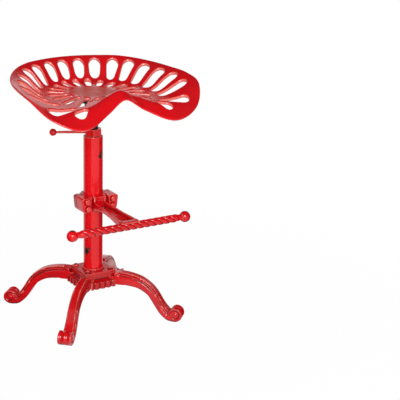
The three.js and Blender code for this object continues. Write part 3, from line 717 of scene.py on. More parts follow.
def worn_patch(tree, finish, paint, rough, radius):
    """The dull middle of the seat, rubbed through in spots."""
    place = object_place(tree)
    level = vector(tree, "MULTIPLY", vector(tree, "SUBTRACT", place, tuple(AXIS * MM)), (1.0, 1.0, 0.0))
    away = plus(tree, vector(tree, "LENGTH", level), fray(tree, 0.034, place, 46.0, 4.0, 0.6))
    mask = ramp(tree, away, radius * 0.78 * MM, radius * MM, 1.0, 0.0)
    spots = ramp(tree, noise(tree, place, 75.0, 4.0, 0.62), 0.47, 0.62)
    worn = dye(tree, times(tree, spots, 0.8), rgba(finish.worn), paint)
    return dye(tree, times(tree, mask, 0.85), paint, worn), plus(tree, rough, times(tree, mask, 0.2))


def floor_shade(tree, reach):
    """Mask of painted shade on a foot, from the floor up to a ragged line."""
    place = object_place(tree)
    height = put(tree, "SeparateXYZ", {0: place}).outputs[2]
    height = plus(tree, height, fray(tree, 0.012, place, 120.0))
    return ramp(tree, height, 0.3 * reach * MM, reach * MM, 0.7, 0.0)


def bare_spots(tree, finish, wear, chips):
    """Mask of worn edges and chips."""
    bare = use_group(tree, "edge_wear", Amount=finish.wear * wear)["Mask"]
    for centre, reach in chips:
        place = tuple((np.array(centre) + AXIS) * MM)
        spot = use_group(tree, "enamel_chip", Centre=place, Reach=tuple(np.array(reach) * MM))["Mask"]
        bare = greatest(tree, bare, spot)
    return bare


def black_paint():
    made, tree, shader = start_material("screw_black")
    if tree is None:
        return made
    finish = bpy.context.scene.stool_finish
    cloud = noise(tree, object_place(tree), 60.0, 4.0, 0.6)
    bare = use_group(tree, "edge_wear", Amount=finish.wear * 1.6, Sharpness=0.12)["Mask"]
    paint = dye(tree, ramp(tree, cloud, 0.35, 0.7), rgba(finish.black), WORN_BLACK)
    feed(tree, shader, {
        "Base Color": dye(tree, bare, paint, darker(finish.steel, 0.7)),
        "Metallic": bare,
        "Roughness": ramp(tree, cloud, 0.3, 0.7, 0.42, 0.62),
        "Specular IOR Level": 0.2,
        "Normal": bump(tree, use_group(tree, "cast_grain", Lumps=0.4, Peel=1.0)["Height"], 0.5, 0.0005),
    })
    return made


def plain_steel():
    made, tree, shader = start_material("bare_steel")
    if tree is None:
        return made
    finish = bpy.context.scene.stool_finish
    place = object_place(tree)
    stain = noise(tree, place, 95.0, 4.0, 0.6)
    metal = dye(tree, ramp(tree, stain, 0.5, 0.75), rgba(finish.steel), STAIN)
    drag = put(tree, "Mapping", {"Vector": place, "Scale": (1.0, 1.0, 0.08)}).outputs[0]
    # Painted shade: the steel's hollows are darkened to the iron colour
    feed(tree, shader, {
        "Base Color": dye(tree, use_group(tree, "recess_shade")["Mask"], metal, rgba(finish.iron)),
        "Metallic": 0.9,
        "Roughness": ramp(tree, stain, 0.3, 0.7, 0.3, 0.55),
        "Normal": bump(tree, noise(tree, drag, 900.0, 2.0), 0.35, 0.0003),
    })
    return made


def seat_enamel():
    chips = [[(-100, 150, 626), (13, 8, 5)]]
    return enamel(
        "seat_enamel", lumps=0.3, peel=0.7, roughness=0.2, depth=0.3, pooling=0.25,
        chips=chips, worn_radius=62,
    )


def column_enamel():
    chips = [
        [(7.4, -23.0, 416.8), (6, 6, 7)], [(9.8, -22.1, 425.9), (3.2, 5, 7)],
        [(7.9, -22.8, 451.8), (2.2, 3, 2.2)], [(-22.9, -7.6, 169.8), (7.5, 7, 11)],
        [(-18.4, -15.7, 177.0), (4, 4, 3)], [(20, 13, 380), (4, 5, 6)], [(6, 23.5, 200), (5, 4, 8)],
    ]
    return enamel(
        "column_enamel", lumps=0.05, peel=0.3, roughness=0.16, depth=0.0, pooling=0.1,
        wear=0.5, chips=chips,
    )


def cast_enamel():
    chips = [[(52, 36, 108), (9, 8, 5)], [(44, 52, 112), (5, 4, 3)]]
    return enamel("cast_enamel", lumps=1.2, peel=0.8, roughness=0.2, depth=0.45, pooling=0.6, chips=chips)


# Deep enamel as painted shade, for the casting under the plate
def hub_shaded_enamel():
    return enamel("hub_shaded_enamel", lumps=1.0, peel=0.8, roughness=0.2, depth=0.75, pooling=0.6)


def leg_enamel():
    chips = [[(-98, -118, 60), (5, 8, 6)]]
    # The feet are painted darker near the floor, as shade
    return enamel(
        "leg_enamel", lumps=0.7, peel=0.8, roughness=0.18, depth=0.35, pooling=0.6,
        chips=chips, floor_shade_height=9,
    )


# Fully pooled red as painted shade, for the clamp's rear half
def rear_shaded_enamel():
    return enamel("rear_shaded_enamel", lumps=1.0, peel=0.8, roughness=0.24, depth=1.0, pooling=0.5)


def footrest_enamel():
    chips = [[(-153, -187.6, 300.6), (6, 6, 3.4)], [(157, -187.6, 299.4), (4, 5, 3)]]
    return enamel("footrest_enamel", lumps=0.6, peel=0.8, roughness=0.2, depth=0.2, pooling=0.4, chips=chips)


# Seat

RIM_SHARES = [0.76, 0.825, 1.03, 1.14, 1.127, 1.035, 0.943, 0.868, 0.807, 0.746, 0.706, 0.689, 0.684]
LEVEL_SHARES = [
    [0.11, 0.08, 0.03, 0, 0, 0, 0, 0, 0.01, 0.02, 0.02, 0.02, 0.02],
    [0.37, 0.25, 0.04, -0.04, 0, 0.04, 0.06, 0.1, 0.13, 0.12, 0.14, 0.145, 0.145],
    [0.555, 0.28, -0.05, -0.07, 0.22, 0.41, 0.52, 0.625, 0.695, 0.73, 0.755, 0.76, 0.76],
    [0.31, -0.16, -0.59, -0.24, 0.46, 0.685, 0.76, 0.85, 0.935, 1, 1, 1, 1],
]
LONG_SLOTS = [
    [(171, 0.71), (170.5, 0.918)], [(152.3, 0.7), (153.2, 0.92)], [(133.7, 0.68), (134.8, 0.918)],
    [(119.2, 0.655), (119.8, 0.92)], [(103.4, 0.63), (104.8, 0.91)], [(86, 0.605), (91.2, 0.915)],
    [(70, 0.587), (79.3, 0.92)], [(55, 0.6), (67, 0.91)], [(39, 0.68), (50.5, 0.9)],
    [(30.5, 0.76), (35.5, 0.865)],
]
SHORT_SLOT_SHARES = [0.62, 0.74, 0.63, 0.55, 0.53, 0.55, 0.58, 0.61, 0.66, 0.695, 0.7]
SLOT_START, SLOT_END_SHARE, SLOT_FLARE_SHARE = 6.0, 0.42, 1.25
PAD_RADIUS, PAD_LOW = 57.5, -12.6
RIM_INSET = 0.3


def at_azimuth(shares, azimuth):
    """A value at an azimuth in degrees from the front, through the shares with smooth joins."""
    shares = np.array(shares, float)
    last = len(shares) - 1
    along = np.abs(azimuth) / 15.0
    k = np.minimum(np.asarray(along).astype(int), last - 1)
    a, b, c, d = shares[np.abs(k - 1)], shares[k], shares[k + 1], shares[last - np.abs(last - k - 2)]
    return smooth_join(b, c, (c - a) / 2, (d - b) / 2, along - k)


def rim_reach(sizes, azimuth):
    return sizes.half_width / MM * at_azimuth(RIM_SHARES, azimuth)


def seat_height(sizes, x, y):
    """Upper face of the seat above the floor."""
    azimuth = np.degrees(np.arctan2(np.abs(x), -y))
    disc, last = sizes.disc_radius / MM, len(LEVEL_SHARES)
    part = last * (np.hypot(x, y) - disc) / (rim_reach(sizes, azimuth) - disc)
    levels = [np.zeros_like(part), *(at_azimuth(row, azimuth) for row in LEVEL_SHARES)]
    height = levels[0]
    for k, (low, high) in enumerate(zip(levels, levels[1:])):
        leaving = (high - levels[k - 1]) / 2 if k else levels[0]
        arriving = (levels[k + 2] - low) / 2 if k + 1 < last else np.minimum(high - low, 0.0)
        along = np.clip(part - k, 0.0, 1.0)
        height = np.where(part > k, smooth_join(low, high, leaving, arriving, along), height)
    height = height + np.maximum(part - last, 0.0) * np.minimum(levels[-1] - levels[-2], 0.0)
    return (sizes.disc_top + sizes.rim_rise * height) / MM


def seat_slots(sizes):
    """Every slot as start, end and the two end radii, in plan."""
    rib = sizes.rib / MM

    def spot(azimuth, reach):
        angle = math.radians(azimuth)
        return np.array([reach * math.sin(angle), -reach * math.cos(angle)])

    def slot(inner, outer, inner_room, outer_room, widest):
        way = outer - inner
        reach = np.linalg.norm(way)
        way = way / reach
        first, second = (
            min((room - rib) / 2, reach * SLOT_END_SHARE, widest / MM) for room in (inner_room, outer_room)
        )
        return inner + way * first, outer - way * second, first, second

    def off_line(point, line):
        way = (line[1] - line[0]) / np.linalg.norm(line[1] - line[0])
        return abs(way[0] * (point - line[0])[1] - way[1] * (point - line[0])[0])

    flip = np.array([-1.0, 1.0])
    lines = [[spot(az, rim_reach(sizes, az) * part) for az, part in ends] for ends in LONG_SLOTS]
    beside = [[end * flip for end in lines[0]], *lines, lines[-2]]
    slots = []
    for k, line in enumerate(lines):
        rooms = [min(off_line(end, beside[k]), off_line(end, beside[k + 2])) for end in line]
        made = slot(*line, *rooms, sizes.long_slot)
        slots += [made, (made[0] * flip, made[1] * flip, *made[2:])]
    count = 2 * (len(SHORT_SLOT_SHARES) - 1)
    start = sizes.disc_radius / MM + SLOT_START
    room = 2 * start * math.sin(math.pi / count)
    for k in range(count):
        place, azimuth = min(k, count - k), k * 360 / count
        reach = rim_reach(sizes, place * 360 / count) * SHORT_SLOT_SHARES[place]
        ends = spot(azimuth, start), spot(azimuth, reach)
        slots.append(slot(*ends, room, room * SLOT_FLARE_SHARE, sizes.short_slot))
    return slots


def rim_edge(sizes, x, y):
    """Distance outside the seat's outline in plan."""
    azimuth = np.degrees(np.arctan2(np.abs(x), -y))
    rim = rim_reach(sizes, azimuth)
    growth = rim_reach(sizes, np.minimum(azimuth + 1, 180)) - rim_reach(sizes, np.maximum(azimuth - 1, 0))
    return (np.hypot(x, y) - rim) / np.hypot(1.0, growth / (np.radians(2.0) * rim)) + RIM_INSET


def slot_gap(slots, x, y):
    """Distance outside the nearest slot in plan."""
    gaps = []
    for start, end, first, second in slots:
        reach = np.linalg.norm(end - start)
        way = (end - start) / reach
        px, py = x - start[0], y - start[1]
        gaps.append(capsule(px * way[0] + py * way[1], px * way[1] - py * way[0], reach, first, second))
    return np.minimum.reduce(gaps)


def seat_field(sizes, slots, bolts):
    """The seat laid level: its height is measured from the upper face at each place."""
    plate, rim_plate, over = sizes.plate / MM, sizes.rim_plate / MM, sizes.round_over / MM
    near, steepest = 0.5, 1.6

    def field(x, y, w):
        edge, gap = rim_edge(sizes, x, y), slot_gap(slots, x, y)
        dx = (seat_height(sizes, x + near, y) - seat_height(sizes, x - near, y)) / (2 * near)
        dy = (seat_height(sizes, x, y + near) - seat_height(sizes, x, y - near)) / (2 * near)
        up = w / np.sqrt(1.0 + np.minimum(dx * dx + dy * dy, steepest))
        deep = plate + (rim_plate - plate) * smooth_step(edge, -17.0, -4.0)
        inside = up + deep / 2
        lip, bead = 0.35 * ridge(gap, 3.6, 1.8), 0.5 * ridge(edge, -3.4, 2.2)
        walls = np.maximum(edge, -gap - 0.4 * ridge(inside, 0.0, 0.8) + 0.08 * np.abs(inside))
        shell = rounded(np.where(inside > 0, over, over * 0.6), walls, up - lip - bead, -deep - up)
        shell = soft_join(shell, drum(np.hypot(x, y), w, PAD_RADIUS, PAD_LOW, -2.0, 1.2), 2.0)
        bores = drum(nearest(x, y, bolts), w, BOLT_BORE, PAD_LOW - 5, PAD_LOW + 8.3, 0.3)
        return np.maximum(shell, -bores)

    return field


def build_seat(sizes):
    turn = math.degrees(sizes.turn)
    slots = seat_slots(sizes)
    bolts = [spin(middle(node), -turn)[:2] for node in four("seat_bolt")]
    grid = (-236, -212, -15.2), (236, 162, 2.0), (2.0, 2.0, 1.0)
    points, faces = cast_skin(seat_field(sizes, slots, bolts), *grid)
    x, y, w = points.T
    top = span("seat_pan")[1][2]
    points = np.c_[x, y, np.minimum(w + seat_height(sizes, x, y), top)]
    piece = make_piece("cast_seat", (spin(points, turn), faces), "seat", "seat_pan", seat_enamel())
    # Marks the slot walls, which the seat's enamel paints with a pale sheen
    mark(piece.data, "wall", 1.0 - smooth_step(slot_gap(slots, x, y), 0.15, 0.7))


def build_seat_mount():
    low, high = span("seat_flange")
    radius, boss, plate_low = 50.0, 21.0, high[2] - 7.0
    screw_top = span("spindle")[1][2] + GAP
    bolts = [middle(node)[:2] for node in four("seat_bolt")]

    def field(x, y, z):
        away = np.hypot(x, y)
        plate = drum(away, z, radius, plate_low, high[2], 1.2)
        body = soft_join(plate, drum(away, z, boss, low[2], high[2] - 1, 1.5), 5.0)
        body = np.maximum(body, -drum(away, z, SCREW_BORE, low[2] - 5, screw_top, 0.4))
        return np.maximum(body, -drum(nearest(x, y, bolts), z, BOLT_BORE, plate_low - 6, high[2] + 6, 0.4))

    skin = cast_skin(field, (-52, -52, low[2] - 1.5), (52, 52, high[2] + 1.5), (1.5, 1.5, 1.0))
    make_piece("seat_mount", skin, "seat", "seat_flange", black_paint())


def build_seat_screws():
    for k, node in enumerate(four("seat_bolt"), 1):
        low, high = span(node)
        points, faces = joined(hex_skin(HEAD_FLAT, 5.0, 1.0), shank_skin(high[2] - low[2], 0.5))
        points = points + [*middle(node)[:2], low[2]]
        make_piece(f"seat_screw_{k}", (points, faces), "seat", node, plain_steel(), 40)


# Column, screw and lock


def build_column():
    low, high = span("column_tube")
    radius, bore = high[0], high[0] - 3.2
    rows = [(radius, low[2])]
    rows += [(radius, height) for height in np.linspace(low[2] + 4, high[2] - 4, 40)]
    rows += [(radius, high[2] - 1.0), (radius - 0.3, high[2] - 0.3), (radius - 1.0, high[2])]
    rows += [(bore + 0.6, high[2]), (bore, high[2] - 0.6), (bore, low[2]), (radius, low[2])]
    make_piece("column", turned_skin(rows, 128), "base", "column_tube", column_enamel(), 40)
    for name in ("column_bush", "spindle_stop"):
        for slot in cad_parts[name].material_slots:
            slot.material = plain_steel()


def build_weld():
    low, high = span("column_weld")
    reach, tall = high[0] - 0.1 - BORE, high[2] - low[2] - 0.1
    angle = circle(240)
    ripple = 0.35 * np.abs(np.sin(angle * 21)) + 0.12 * np.sin(angle * 5 + 1)
    rings = []
    for lean in np.linspace(0, math.pi / 2, 10):
        out, up = math.cos(lean), math.sin(lean)
        radius = np.maximum(BORE + reach * out**0.7 - ripple * out, BORE)
        rings.append(level_ring(radius, angle, low[2] + tall * up**0.7 - ripple * up))
    rings.append(level_ring(BORE, angle, low[2]))
    make_piece("weld_bead", ring_skin(rings, closed=True), "base", "column_weld", cast_enamel())


def build_plate():
    low, high = span("flange_plate")
    bolts = [middle(node)[:2] for node in four("flange_bolt")]
    room = np.array([1.5, 1.5, 1.3])

    def field(x, y, z):
        body = np.maximum(block(x, y, z, low, high, 1.1), BORE - np.hypot(x, y))
        return soft_cut(body, nearest(x, y, bolts) - BOLT_BORE, 0.6)

    skin = cast_skin(field, low - room, high + room, (1.2, 1.2, 0.8))
    make_piece("column_plate", skin, "base", "flange_plate", cast_enamel())


def build_plate_bolts():
    under = span("flange_plate")[1][2] + GAP
    for k, node in enumerate(four("flange_bolt"), 1):
        low, high = span(node)
        reach, tall = (high[0] - low[0]) / 2, high[2] - under
        leans = np.linspace(0, 1.15, 9)
        dome = [(reach * math.cos(t), under + tall * (0.3 + 0.7 * math.sin(t))) for t in leans]
        socket, socket_low = 2.6, under + tall * 0.35
        profile = [
            (0, low[2]), (3.6, low[2]), (BOLT_SHANK, low[2] + 0.5), (BOLT_SHANK, under),
            (reach * 0.96, under), (reach, under + 0.3), *dome, (3.1, high[2] - 0.1),
            (socket, high[2] - 0.7), (socket, socket_low), (0, socket_low),
        ]
        points, faces = turned_skin(profile, 48, sixes=(len(profile) - 3, len(profile) - 2))
        points = points + [*middle(node)[:2], 0]
        make_piece(f"plate_bolt_{k}", (points, faces), "base", node, cast_enamel(), 35)


def build_screw():
    low, high = span("spindle")
    reach, pitch, chamfer, thread_depth, plain_top = high[0], 8.0, 1.2, 1.7, 24.0
    threaded = np.linspace(low[2] + 1.5, high[2] - plain_top - 2, 330)
    angle = circle(64)
    rings = []
    for height in [low[2], low[2] + chamfer, *threaded, high[2] - plain_top, high[2] - chamfer, high[2]]:
        turn = (height / pitch - angle / (2 * math.pi)) % 1.0
        tooth = np.clip(2.6 * np.abs(2 * turn - 1) - 0.9, 0, 1)
        fade = smooth_step(height, low[2] + 2, low[2] + 6)
        fade = fade * (1 - smooth_step(height, high[2] - plain_top - 10, high[2] - plain_top - 4))
        end = chamfer if height in (low[2], high[2]) else 0.0
        rings.append(level_ring(reach - thread_depth * tooth * fade - end, angle, height))
    make_piece("lift_screw", ring_skin(rings), "spindle", "spindle", black_paint(), 50)


NUT_FLAT, LEVER_RISE = 19.0, 9.0


def lever_line():
    """Azimuth and reach of the lever's ball about the column, and the lever's height."""
    x, y, _ = middle("lever_ball")
    return math.degrees(math.atan2(y, x)), math.hypot(x, y), span("lock_nut")[0][2] + LEVER_RISE


def build_lock_nut():
    low, high = span("lock_nut")
    azimuth, _, rise = lever_line()
    corner, lever_bore, bore_depth = NUT_FLAT / math.cos(math.pi / 6), 4.5, 6.0
    ahead, beside = math.cos(math.radians(azimuth)), math.sin(math.radians(azimuth))

    def field(x, y, z):
        px, py = x * ahead + y * beside, y * ahead - x * beside
        sides = [np.abs(px * math.cos(t) + py * math.sin(t)) for t in (0, math.pi / 3, -math.pi / 3)]
        up = np.abs(z - (low[2] + high[2]) / 2) - (high[2] - low[2]) / 2
        away = np.hypot(x, y)
        flats = np.maximum.reduce(sides) - NUT_FLAT
        body = rounded(0.9, flats, up, 0.55 * (away - corner) + 0.84 * up + 0.7)
        body = soft_cut(body, away - SCREW_BORE, 1.2)
        return np.maximum(body, -np.maximum(np.hypot(py, z - rise) - lever_bore, NUT_FLAT - bore_depth - px))

    skin = cast_skin(field, (-23.5, -23.5, low[2] - 1.2), (23.5, 23.5, high[2] + 1.2), 0.75)
    make_piece("lock_nut_hex", skin, "lock", "lock_nut", footrest_enamel())


def build_lever():
    azimuth, reach, rise = lever_line()
    root, collar, tip = NUT_FLAT - 5.7, NUT_FLAT + 8, reach - 4.0
    rod = [(0, root), (3.8, root), (4.2, root + 0.5), (4.2, NUT_FLAT + 2), (3.9, collar)]
    rod += [(3.9 - 1.1 * part, collar + (tip - collar) * part) for part in np.linspace(0.1, 1, 12)]
    points, faces = turned_skin([*rod, (0, tip)], 32)
    points = spin(laid(points, "x"), azimuth) + [0, 0, rise]
    make_piece("lock_lever_arm", (points, faces), "lock", "lock_lever", footrest_enamel(), 60)


def build_lever_ball():
    azimuth, reach, rise = lever_line()
    low, high = span("lever_ball")
    size, neck = (high[2] - low[2]) / 2, 3.1
    depth = GAP - size * 0.45
    points, faces = turned_skin([(0, depth), (neck, depth), *ball_outline(size, neck, 30)], 48)
    points = spin(laid(points, "x") + [reach, 0, 0], azimuth) + [0, 0, rise]
    make_piece("lock_lever_ball", (points, faces), "lock", "lever_ball", footrest_enamel(), 60)


# Base

CREST_SHARES = [
    (0.345, 1), (0.45, 0.98), (0.59, 0.91), (0.7, 0.78),
    (0.77, 0.64), (0.82, 0.49), (0.865, 0.355), (0.925, 0.225),
]
SOFFIT_SHARES = [
    (0.985, 0.0), (0.9, 0.03), (0.82, 0.15), (0.765, 0.29),
    (0.712, 0.44), (0.655, 0.57), (0.545, 0.68), (0.4, 0.72),
]
LEG_REACH, LEG_CREST, FOOT_FLAT = 219.0, 117.5, 0.45
PLATE_BOTTOM, HUB_SLAB, HUB_HALF = 114.3, 9.0, 42.0
BOLT_PLACE, BOLT_LOW, ROOT_START, ROOT_DEPTH = 32.0, 96.0, 22.0, 20.0
LINES_START, LINES_FULL, FLARE_START, FLARE_FULL, FLARE = 60.0, 72.0, 150.0, 214.0, 3.0
# Lines along a leg's side, each as distance from the crest, width and rise
LEG_LINES = [(3.0, 1.3, 1.6), (5.9, 1.3, -0.9), (8.8, 1.4, 1.3)]
HEADINGS = {"front_left": -45, "front_right": -135, "back_right": 135, "back_left": 45}


def scroll_field(sizes, x, y, z):
    """The rolled foot, with a spiral and an eye on each face and rounded toes below."""
    radius, broad = sizes.scroll_radius / MM, sizes.scroll_width / MM / 2
    px, pz = x - LEG_REACH, z - radius + FOOT_FLAT
    away = np.hypot(px, pz)
    toe = np.cos(np.clip(np.abs(y) / broad, 0, 1) * 2.5 * math.pi) * smooth_step(z, 4.0, 11.0)
    rim = radius - 1.6 + 1.3 * toe * smooth_step(px, -14, -2)
    turn = ((np.arctan2(pz, -px) + math.pi * 0.2) % (2 * math.pi)) / (2 * math.pi)
    spiral = 2.8 * ridge(away, radius * (0.86 - 0.5 * turn), 1.5)
    eye = 1.3 * (1 - smooth_step(away, radius * 0.2, radius * 0.32))
    return rounded(1.8, away - rim, np.abs(y) - (broad - 1.6 - 0.04 * away - spiral + eye))


def leg_field(sizes):
    """One leg along +X, with its crest band, coves and scroll foot."""
    crest = curve_through([(LEG_REACH * a, LEG_CREST * b) for a, b in CREST_SHARES], 6)
    soffit = curve_through([(LEG_REACH * a, LEG_CREST * b) for a, b in SOFFIT_SHARES], 6)
    slab_top = PLATE_BOTTOM - GAP
    root_top = slab_top - HUB_SLAB - GAP
    corner = HUB_HALF * math.sqrt(2) + GAP
    root = [(ROOT_START, root_top - ROOT_DEPTH), (ROOT_START, root_top)]
    outline = [*root, (corner, root_top), (corner, slab_top), *crest, *soffit]
    half, band, cove = sizes.leg_width / MM / 2, sizes.band_half / MM, sizes.cove / MM

    def field(x, y, z):
        crown = line_distance(x, z, crest)
        run = smooth_step(x, LINES_START, LINES_FULL)
        flare = smooth_step(x, FLARE_START, FLARE_FULL) * FLARE
        band_step = (half - band) * ridge(crown, 0.0, cove)
        lines = sum(rise * ridge(crown, place, width) for place, width, rise in LEG_LINES)
        lower_edge = 2.6 * ridge(line_distance(x, z, soffit), 0.0, 3.0)
        wide = half + flare - (band_step + lines) * run - lower_edge
        body = rounded(1.2, line_distance(x, z, outline, closed=True), np.abs(y) - wide)
        body = np.maximum(soft_join(body, scroll_field(sizes, x, y, z), 2.5), -z)
        bore = np.maximum(np.hypot(x - BOLT_PLACE * math.sqrt(2), y) - BOLT_BORE, BOLT_LOW - z)
        return np.maximum(body, -bore)

    return field


def build_legs(sizes):
    field = leg_field(sizes)
    points, faces = cast_skin(field, (19, -21, -2.6), (241, 21, 121), 1.2)
    for name, heading in HEADINGS.items():
        skin = spin(points, heading), faces
        make_piece(f"scroll_leg_{name}", skin, "base", f"leg_{name}", leg_enamel())


def build_hub(sizes):
    low, high = span("base_hub")
    slab_low, leg_room, wall, rim = high[2] - HUB_SLAB, 14.6, 10.0, 9.0
    cove_low, cove_high = 97.0, 106.0
    pitch, depth = sizes.pleat / MM, sizes.pleat_depth / MM
    inner = high[0] - 1.4 - wall - depth

    def field(x, y, z):
        ax, ay = np.abs(x), np.abs(y)
        far, side = np.maximum(ax, ay), np.minimum(ax, ay)
        slab = rounded(0.8, far - HUB_HALF, np.abs(z - (high[2] + slab_low) / 2) - HUB_SLAB / 2)
        pleat = np.sqrt(np.abs(np.cos(side * math.pi / pitch)))
        skirt = inner + (wall + depth * pleat) * (1 - smooth_step(z, cove_low, cove_high))
        apron = rounded(1.1, far - skirt, low[2] + 1.8 - 1.5 * pleat - z, z - slab_low - 3.0)
        hollow = np.maximum(far - HUB_HALF + rim, z - slab_low)
        body = np.maximum(soft_join(slab, apron, 6.0), -hollow)
        across, along = np.abs(ax - ay) / math.sqrt(2), (ax + ay) / math.sqrt(2)
        under = np.maximum(ROOT_START - GAP - along, z - slab_low)
        leg = np.maximum(across - leg_room, np.minimum(under, HUB_HALF * math.sqrt(2) - along))
        return np.maximum(body, -np.minimum(leg, np.hypot(ax - BOLT_PLACE, ay - BOLT_PLACE) - BOLT_BORE))

    skin = cast_skin(field, (-60, -60, low[2] - 2), (60, 60, high[2] + 1.8), 1.15)
    make_piece("base_casting", skin, "base", "base_hub", hub_shaded_enamel())


# Footrest

CLAMP_LOW, CLAMP_TALL, CLAMP_WALL, CLAMP_SPLIT = 280.0, 38.0, 8.5, 6.0
CLAMP_TOP = CLAMP_LOW + CLAMP_TALL
BAR_REACH, BAR_HEIGHT, BALL_PLACE = 187.6, 287.3, 153.0
LUG_OUTLINE = [
    (22.5, CLAMP_TOP), (25.2, CLAMP_LOW + 9), (27.5, CLAMP_LOW + 3), (32, CLAMP_LOW),
    (40.5, CLAMP_LOW), (44.5, CLAMP_LOW + 2), (47, CLAMP_LOW + 8),
    (49.6, CLAMP_TOP - 8), (49.6, CLAMP_TOP - 3), (46.8, CLAMP_TOP),
]


def clamp_body(x, y, z, front, back, radius):
    """The clamp's ring with a lug on each side, between a front and a back face."""
    ring = drum(np.hypot(x, y), z, BORE + CLAMP_WALL, CLAMP_LOW, CLAMP_TOP, 2.0)
    deep = np.abs(y - (front + back) / 2) - (back - front) / 2
    return soft_join(ring, rounded(radius, line_distance(np.abs(x), z, LUG_OUTLINE, closed=True), deep), 3.0)


def arm_shape(reach):
    """Top, bottom and rib place of the arm at a reach, between its root and the bar."""
    start, end = 28.7, BAR_REACH - 7.2
    low, waist, tip = CLAMP_LOW + 3, 302.5, 299.0
    drop = waist - low
    shares = [
        (0, CLAMP_TOP - 0.3, 0, 0), (0.05, CLAMP_TOP - 0.3, 0, 0), (0.065, 304.5, 0.05, 0),
        (0.14, 303.2, 0.22, 0), (0.3, waist, 0.4, 0.1), (0.45, waist - 0.04 * drop, 0.42, 0.25),
        (0.62, waist - 0.12 * drop, 0.36, 0.45), (0.8, tip + 0.04 * drop, 0.2, 0.75), (1, tip, 0.12, 1),
    ]
    places, *rows = zip(*shares)
    part = np.clip((reach - start) / (end - start), 0, 1)
    top, rise, spread = (np.interp(part, places, row) for row in rows)
    return top, low + rise * drop, 14 + 7 * spread


def bar_seat(x, y, z):
    """The boss under the bar, with a rounded back and a lip in front."""
    across = np.hypot(y + BAR_REACH, z - BAR_HEIGHT)
    front = np.maximum(-y - BAR_REACH - 5.0 - (z - BAR_HEIGHT) * 0.2, BAR_HEIGHT - z - 9.5)
    return rounded(4.6, np.abs(x) - 26, across - 18.0, front, z - 299.3)


def arm_field(x, y, z):
    """The arm: two ribs on a web, from a root block to the bar."""
    ax, reach, back = np.abs(x), -y, 26.0
    rib_half, web_half, root_half, root_reach = 2.7, 1.6, 16.0, 36.0
    top, bottom, place = arm_shape(reach)
    ends = np.maximum(back - reach, reach - BAR_REACH + 3.0)
    up = np.abs(z - (top + bottom) / 2) - (top - bottom) / 2
    rib = rounded(1.2, np.abs(ax - place) - rib_half, up, ends)
    web = rounded(0.8, ax - place, np.abs(z - bottom - web_half) - web_half, ends)
    root = rounded(1.5, ax - root_half, up, back - reach, reach - root_reach)
    return soft_join(soft_join(rib, web, 1.6), root, 1.5)


def build_bracket():
    low, high = span("footrest_bracket")
    bolts = [middle(node)[::2] for node in four("clamp_bolt")]
    face, bar_groove, spot_radius, spot_depth = -39.0, 10.1, 8.8, 1.3

    def field(x, y, z):
        body = soft_join(clamp_body(x, y, z, face, 0.0, 1.8), arm_field(x, y, z), 3.0)
        body = soft_join(body, bar_seat(x, y, z), 3.0)
        body = soft_cut(body, np.hypot(y + BAR_REACH, z - BAR_HEIGHT) - bar_groove, 0.8)
        body = np.maximum(body, BORE - np.hypot(x, y))
        body = rounded(0.8, body, y + CLAMP_SPLIT)
        away = nearest(x, z, bolts)
        spot_face = np.maximum(away - spot_radius, y - face - spot_depth)
        return soft_cut(np.maximum(body, BOLT_BORE - away), spot_face, 0.5)

    room = (-52, low[1] - 2, low[2] - 2), (52, high[1] + 1.5, high[2] + 2)
    skin = cast_skin(field, *room, 1.15)
    make_piece("bracket", skin, "footrest", "footrest_bracket", footrest_enamel())


def build_clamp_back():
    low, high = span("clamp_back")
    bolts = [middle(node)[::2] for node in four("clamp_bolt")]
    face, spot_radius = 12.0, 8.0

    def field(x, y, z):
        body = np.maximum(clamp_body(x, y, z, face - 20, face, 2.5), BORE - np.hypot(x, y))
        body = rounded(0.8, body, GAP - CLAMP_SPLIT - y)
        away = nearest(x, z, bolts)
        spot_face = np.maximum(away - spot_radius, face - y)
        return np.maximum(body, -np.minimum(away - BOLT_BORE, spot_face))

    skin = cast_skin(field, (-52, low[1] - 1.5, low[2] - 2), (52, high[1] + 2, high[2] + 2), 1.2)
    make_piece("clamp_rear_half", skin, "footrest", "clamp_back", rear_shaded_enamel())


def build_clamp_bolts():
    for k, (bolt, nut) in enumerate(zip(four("clamp_bolt"), four("clamp_nut")), 1):
        low, high = span(bolt)
        x, _, z = middle(bolt)
        head, faces = hex_skin(HEAD_FLAT, 6.2, 1.6)
        points, faces = joined((spin(head, 17 * k), faces), shank_skin(high[1] - low[1], 0.8))
        skin = laid(points, "y") + [x, low[1], z], faces
        make_piece(f"clamp_screw_{k}", skin, "footrest", bolt, footrest_enamel(), 40)
        low, high = span(nut)
        points, faces = hex_skin(HEAD_FLAT, high[1] - low[1], 1.2, BOLT_BORE)
        skin = laid(spin(points, 11 * k), "y") + [x, low[1], z], faces
        make_piece(f"clamp_hex_nut_{k}", skin, "footrest", nut, footrest_enamel(), 40)


def build_bar(sizes):
    full, cut = sizes.bar_radius / MM, sizes.bar_groove / MM
    neck, neck_run, taper_run = 7.5, 8.3, 20.3
    starts, grooves, end = 3, 16, span("footrest_bar")[1][0]
    angle = circle(72)
    rings = []
    for along in np.linspace(-end, end, 520):
        turn = starts * angle / (2 * math.pi) - grooves * (along + end) / (2 * end)
        groove = np.abs(2 * (turn % 1.0) - 1) ** 3.2
        swell = smooth_step(end - abs(along), neck_run, taper_run)
        radius = neck + (full - cut * groove - neck) * swell
        rings.append(laid(level_ring(radius, angle, along), "x") + [0, -BAR_REACH, BAR_HEIGHT])
    make_piece("twisted_bar", ring_skin(rings), "footrest", "footrest_bar", footrest_enamel(), 70)


